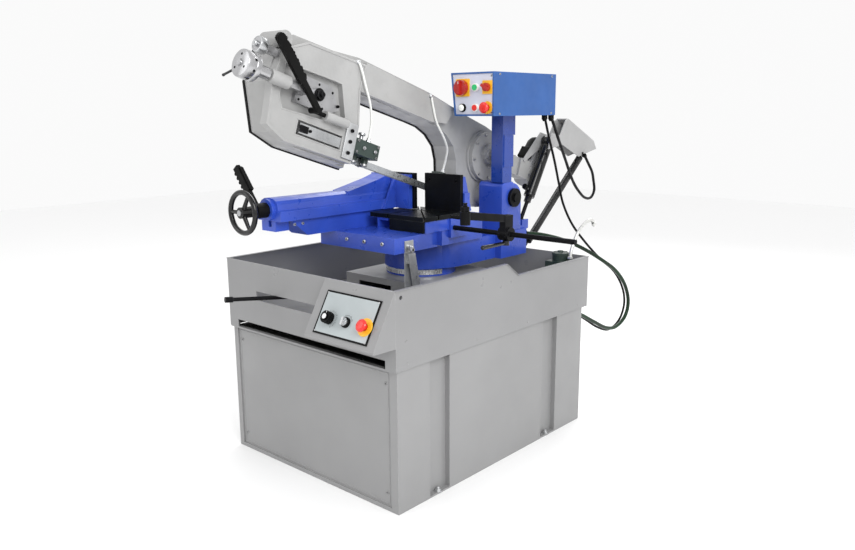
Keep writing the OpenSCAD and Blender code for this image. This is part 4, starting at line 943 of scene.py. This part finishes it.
sh = Shape()
for x, z in ((88, 1256), (76, 1387), (258, 1256), (258, 1387)):
    sh.screw(box_at(x, z), 4, 2.2)
for y in (176, 516):
    for z in (1251, 1392):
        sh.screw(ROW @ move(BOX_SIDE, y, z) @ turn("Y", 90), 4.2, 2.6)
sh.done("box_screws", "zinc", "swivel", slot="bright_steel")
sh = Shape()
sh.block(box_at(SWITCH_X, UPPER_Z), (-1.2, 1.2), (13, 22), (30.3, 30.7), 0.2)
sh.done("main_switch_pointer", "mark", "main_switch")
sh = Shape()
# the vent slots are thin dark plates: painted shade standing for the openings
for y0 in (262, 300, 338, 376):
    for z in (1290, 1302, 1314, 1326):
        sh.block(ROW, (67.8, 68.7), (y0, y0 + 26), (z, z + 4), 0.3)
sh.done("box_vents", "ink_and_hole_shade", "swivel", slot="box_blue")
for x, y in ((262, 530), (246, 508)):
    sh = Shape()
    f = along((x, y, 1243), (0, 0, -1))
    sh.lathe(f, [(0, 0), (13, 0), (13, 5), (11, 6)], 6)
    sh.lathe(f, [(11, 5.8), (11.5, 8), (11.5, 15), (8, 20), (6.4, 24)], 24)
    sh.done("box_gland_%d" % x, "plastic", "swivel")
for x, z in ((310, 450), (340, 440)):
    sh = Shape()
    f = along((x, 541, z), (0, 1, 0))
    sh.lathe(f, [(0, 0), (15, 0), (15, 5), (13, 6)], 6)
    sh.lathe(f, [(13, 5.8), (13, 14), (9.4, 20), (8.4, 24)], 24)
    sh.done("cabinet_gland_%d" % x, "plastic", "base")


# the rings and plates behind the controls take the place of the part's own
def bezel(at, profile, n, name, mat, body, node):
    """A ring or disc that replaces part of a bezel node."""
    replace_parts(Shape().lathe(at, profile, n, loop=True).done(name, mat, body), node)


bezel(panel_at(VALVE_X, CONTROL_DROP), [(7, 3), (15, 3), (15, 6.6), (13.6, 8), (7, 8)], 48,
      "feed_knob_collar", "zinc", "base", "panel_bezels")
bezel(panel_at(SELECTOR_X, CONTROL_DROP), [(12, 3), (17, 3), (17, 9), (15.6, 12), (12, 12)], 48,
      "selector_collar", "plastic", "base", "panel_bezels")
bezel(panel_at(PANEL_STOP_X, CONTROL_DROP), [(12, 3), (29, 3), (29, 5.2), (28.2, 6), (12, 6)], 64,
      "panel_stop_disc", "yellow", "base", "panel_bezels")
sh = Shape()
for x, hw, hh in ((SWITCH_X, 32, 32), (SPEED_X, 23, 24)):
    f = box_at(x, UPPER_Z)
    pts = []
    for cx, cy, a0 in ((hw - 3, hh - 3, 0), (3 - hw, hh - 3, 90), (3 - hw, 3 - hh, 180),
                       (hw - 3, 3 - hh, 270)):
        for k in range(5):
            a = math.radians(a0 + 22.5 * k)
            pts.append((cx + 3 * math.cos(a), cy + 3 * math.sin(a)))
    ring = [(12 * math.cos(2 * math.pi * k / 40), 12 * math.sin(2 * math.pi * k / 40)) for k in range(40)]
    lo = [[sh.bm.verts.new(f @ Vector((px, py, z))) for px, py in pts] for z in (0, 3.4)]
    lo.append([sh.bm.verts.new(f @ Vector((px * (1 - 0.6 / hw), py * (1 - 0.6 / hh), 4))) for px, py in pts])
    inner = [[sh.bm.verts.new(f @ Vector((px, py, z))) for px, py in ring] for z in (4, 0)]
    for a, b in zip(lo, lo[1:]):
        for k in range(20):
            sh.bm.faces.new((a[k], a[(k + 1) % 20], b[(k + 1) % 20], b[k]))
    for k in range(40):
        j = (k + 1) % 40
        sh.bm.faces.new((inner[0][k], inner[0][j], inner[1][j], inner[1][k]))
    for outer, hole in ((lo[2], inner[0]), (lo[0], inner[1])):
        near = [min(range(20), key=lambda q: (outer[q].co - hole[k].co).length) for k in range(40)]
        for k in range(40):
            j = (k + 1) % 40
            q, e = near[k], near[j]
            while q != e:
                nxt = (q + 1) % 20
                sh.bm.faces.new((outer[q], outer[nxt], hole[k]))
                q = nxt
            sh.bm.faces.new((outer[e], hole[j], hole[k]))
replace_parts(sh.done("switch_plates", "yellow", "swivel"), "box_bezels")
bezel(box_at(SPEED_X, LOWER_Z), [(12, 0), (23, 0), (23, 3.2), (22.2, 4), (12, 4)], 56,
      "box_stop_disc", "yellow", "swivel", "box_bezels")
sh = Shape()
for z in (UPPER_Z, LOWER_Z):
    sh.lathe(box_at(BUTTON_X, z), [(11, 0), (15, 0), (15, 7), (14.2, 9), (11, 9)], 48, loop=True)
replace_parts(sh.done("button_rings", "white", "swivel"), "box_bezels")
bezel(box_at(SWITCH_X, LOWER_Z), [(12.5, 0), (15, 0), (15, 9), (13.6, 11), (12.6, 11)], 48,
      "lamp_ring", "plastic", "swivel", "box_bezels")
sh = Shape()
sh.lathe(box_at(SWITCH_X, LOWER_Z),
         [(0, 1), (12.5, 1), (12.5, 11), (12.3, 12.4), (11, 14.6), (9, 15.8), (0, 16)], 48)
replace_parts(sh.done("lamp_lens", "lamp", "swivel"), "box_bezels")
sh = Shape()
sh.block(ROW, (180.6, 184), (912, 920), (1056, 1078), 0.8)
sh.lathe(along((189, 921.5, 1062), (0, -0.683, 0.730)),
         [(6.2, -6), (8.4, -6), (9, -5), (9, 5), (8.4, 6), (6.2, 6)], 24)
sh.block(ROW, (183, 186), (912, 930), (1058, 1066), 0.8)
sh.done("cable_clip", "plastic", "bow")
sh = Shape()
sh.lathe(along((178, 479.2, 764), (0, 1, 0)),
         [(8.4, 0), (15, 0), (15, 4.5), (13, 5.5), (13, 11), (9.2, 16), (8.3, 18)], 6)
sh.done("bundle_gland", "plastic", "swivel")

# ---------------- cabinet and tray details
sh = Shape()
for sx in (-1, 1):
    for y in (-340, 308):
        sh.hexnut(ROW @ move(sx * 416, y, 6), 11, 8)
        sh.lathe(ROW @ move(sx * 416, y, 6), [(0, 0), (13.5, 0), (13.5, 1.6), (0, 1.8)], 28)
sh.done("anchor_nuts", "zinc", "base", slot="bright_steel")
sh = Shape()
rim(sh, ROW @ move(0, -536, 0) @ turn("X", 90), [(-392, 24), (384, 24), (384, 466), (-392, 466)], 3, -0.2,
    1.2)
sh.done("front_panel_fold", "cabinet", "base")
sh = Shape()
for z in (60, 430):
    for x in (-380, 372):
        sh.screw(ROW @ move(x, -536, z) @ turn("X", 90), 5, 3)
for sx in (-1, 1):
    for y in (-500, -150, 150, 500):
        sh.lathe(ROW @ move(sx * CABINET_SIDE, y, 497) @ turn("Y", sx * 90),
                 [(0, 0), (4, 0), (3.4, 1.4), (1.6, 2), (0, 2)], 20)
sh.done("cabinet_screws", "cabinet", "base")
sh = Shape()
for sx in (-1, 1):
    sh.prism(ROW @ move(sx * CABINET_SIDE, 0, 0) @ turn("Z", 90) @ turn("X", 90),
             [(-551, 736), (13, 736), (82, 686), (569, 686), (569, 684.5), (81.4, 684.5), (12.5, 734.4),
              (-551, 734.4)], *((-10, 4) if sx > 0 else (-4, 10)))
sh.done("tray_lips", "tray", "base")
PUMP_X, PUMP_Y = 343, 500
sh = Shape()
sh.lathe(ROW @ move(PUMP_X, PUMP_Y, 692), [(32, 0), (34, 1), (34, 8), (30, 10), (12, 11), (11, 16), (0, 17)], 36)
for k in range(4):
    a = math.radians(45 + 90 * k)
    sh.screw(ROW @ move(PUMP_X + 24 * math.cos(a), PUMP_Y + 24 * math.sin(a), 702), 3, 2.5)
sh.done("pump_cap", "dark_green", "base")
PIPE = [(389, 500, 682.5), (389, 506, 710), (390, 524, 744), (391, 552, 782), (393, 590, 808),
        (395, 628, 822), (395, 654, 816), (395, 668, 796)]
pts = [ROW @ Vector(p) for p in catmull(PIPE, 8)]
sh = Shape().tube(pts, 0.0067, 20)
sh.lathe(along(PIPE[0], (0, 0.2, 1)), [(7, -4), (11, -4), (11, 4), (9, 6), (6.8, 7)], 6)
sh.lathe(along(PIPE[-1], (0, 0.5, -1)),
         [(6.9, -14), (9, -13), (9, -2), (7.6, 1.2), (5, 1.3), (5, -2), (0, -2)], 24)
sh.done("coolant_spout", "pipe", "base", slot="pump_green")

# ---------------- stage and light
me = bpy.data.meshes.new("floor")
bm = bmesh.new()
rows = []
for i in range(61):
    y = 9 - 0.3 * i
    rows.append([bm.verts.new((x, y, 0.0)) for x in (-9, 9)])
for a, b in zip(rows, rows[1:]):
    bm.faces.new((a[0], a[1], b[1], b[0]))
bm.to_mesh(me)
bm.free()
floor = bpy.data.objects.new("floor", me)
floor.location.z = -0.0005
bpy.context.scene.collection.objects.link(floor)
fm = bpy.data.materials.new("floor_white")
fm.use_nodes = True
ft = fm.node_tree
fb = ft.nodes["Principled BSDF"]
fb.inputs["Base Color"].default_value = (0.955, 0.955, 0.955, 1)
fn = ft.nodes.new("ShaderNodeTexNoise")
fn.inputs["Scale"].default_value = 3
fr = ft.nodes.new("ShaderNodeMapRange")
fr.inputs["To Min"].default_value = 0.5
fr.inputs["To Max"].default_value = 0.7
ft.links.new(fn.outputs["Fac"], fr.inputs["Value"])
ft.links.new(fr.outputs["Result"], fb.inputs["Roughness"])
me.materials.append(fm)

world = bpy.data.worlds.new("studio")
world.use_nodes = True
world.node_tree.nodes["Background"].inputs["Color"].default_value = (1.0, 1.0, 1.0, 1)
world.node_tree.nodes["Background"].inputs["Strength"].default_value = 0.96
bpy.context.scene.world = world


def area(name, pos, target, size, watts):
    ld = bpy.data.lights.new(name, "AREA")
    ld.shape = "RECTANGLE"
    ld.size, ld.size_y = size
    ld.energy = watts
    lo = bpy.data.objects.new(name, ld)
    bpy.context.scene.collection.objects.link(lo)
    lo.location = pos
    lo.rotation_euler = (Vector(target) - Vector(pos)).to_track_quat("-Z", "Y").to_euler()


area("key", (3.4, -1.4, 3.0), (0, 0, 0.8), (2.2, 2.2), 105)
area("fill", (-1.8, -3.4, 2.8), (0, 0, 0.8), (2.0, 2.4), 22)
area("rear", (-1.0, 3.2, 3.2), (0, 0, 1.0), (3.0, 1.6), 60)
bpy.context.scene.view_settings.view_transform = "Standard"
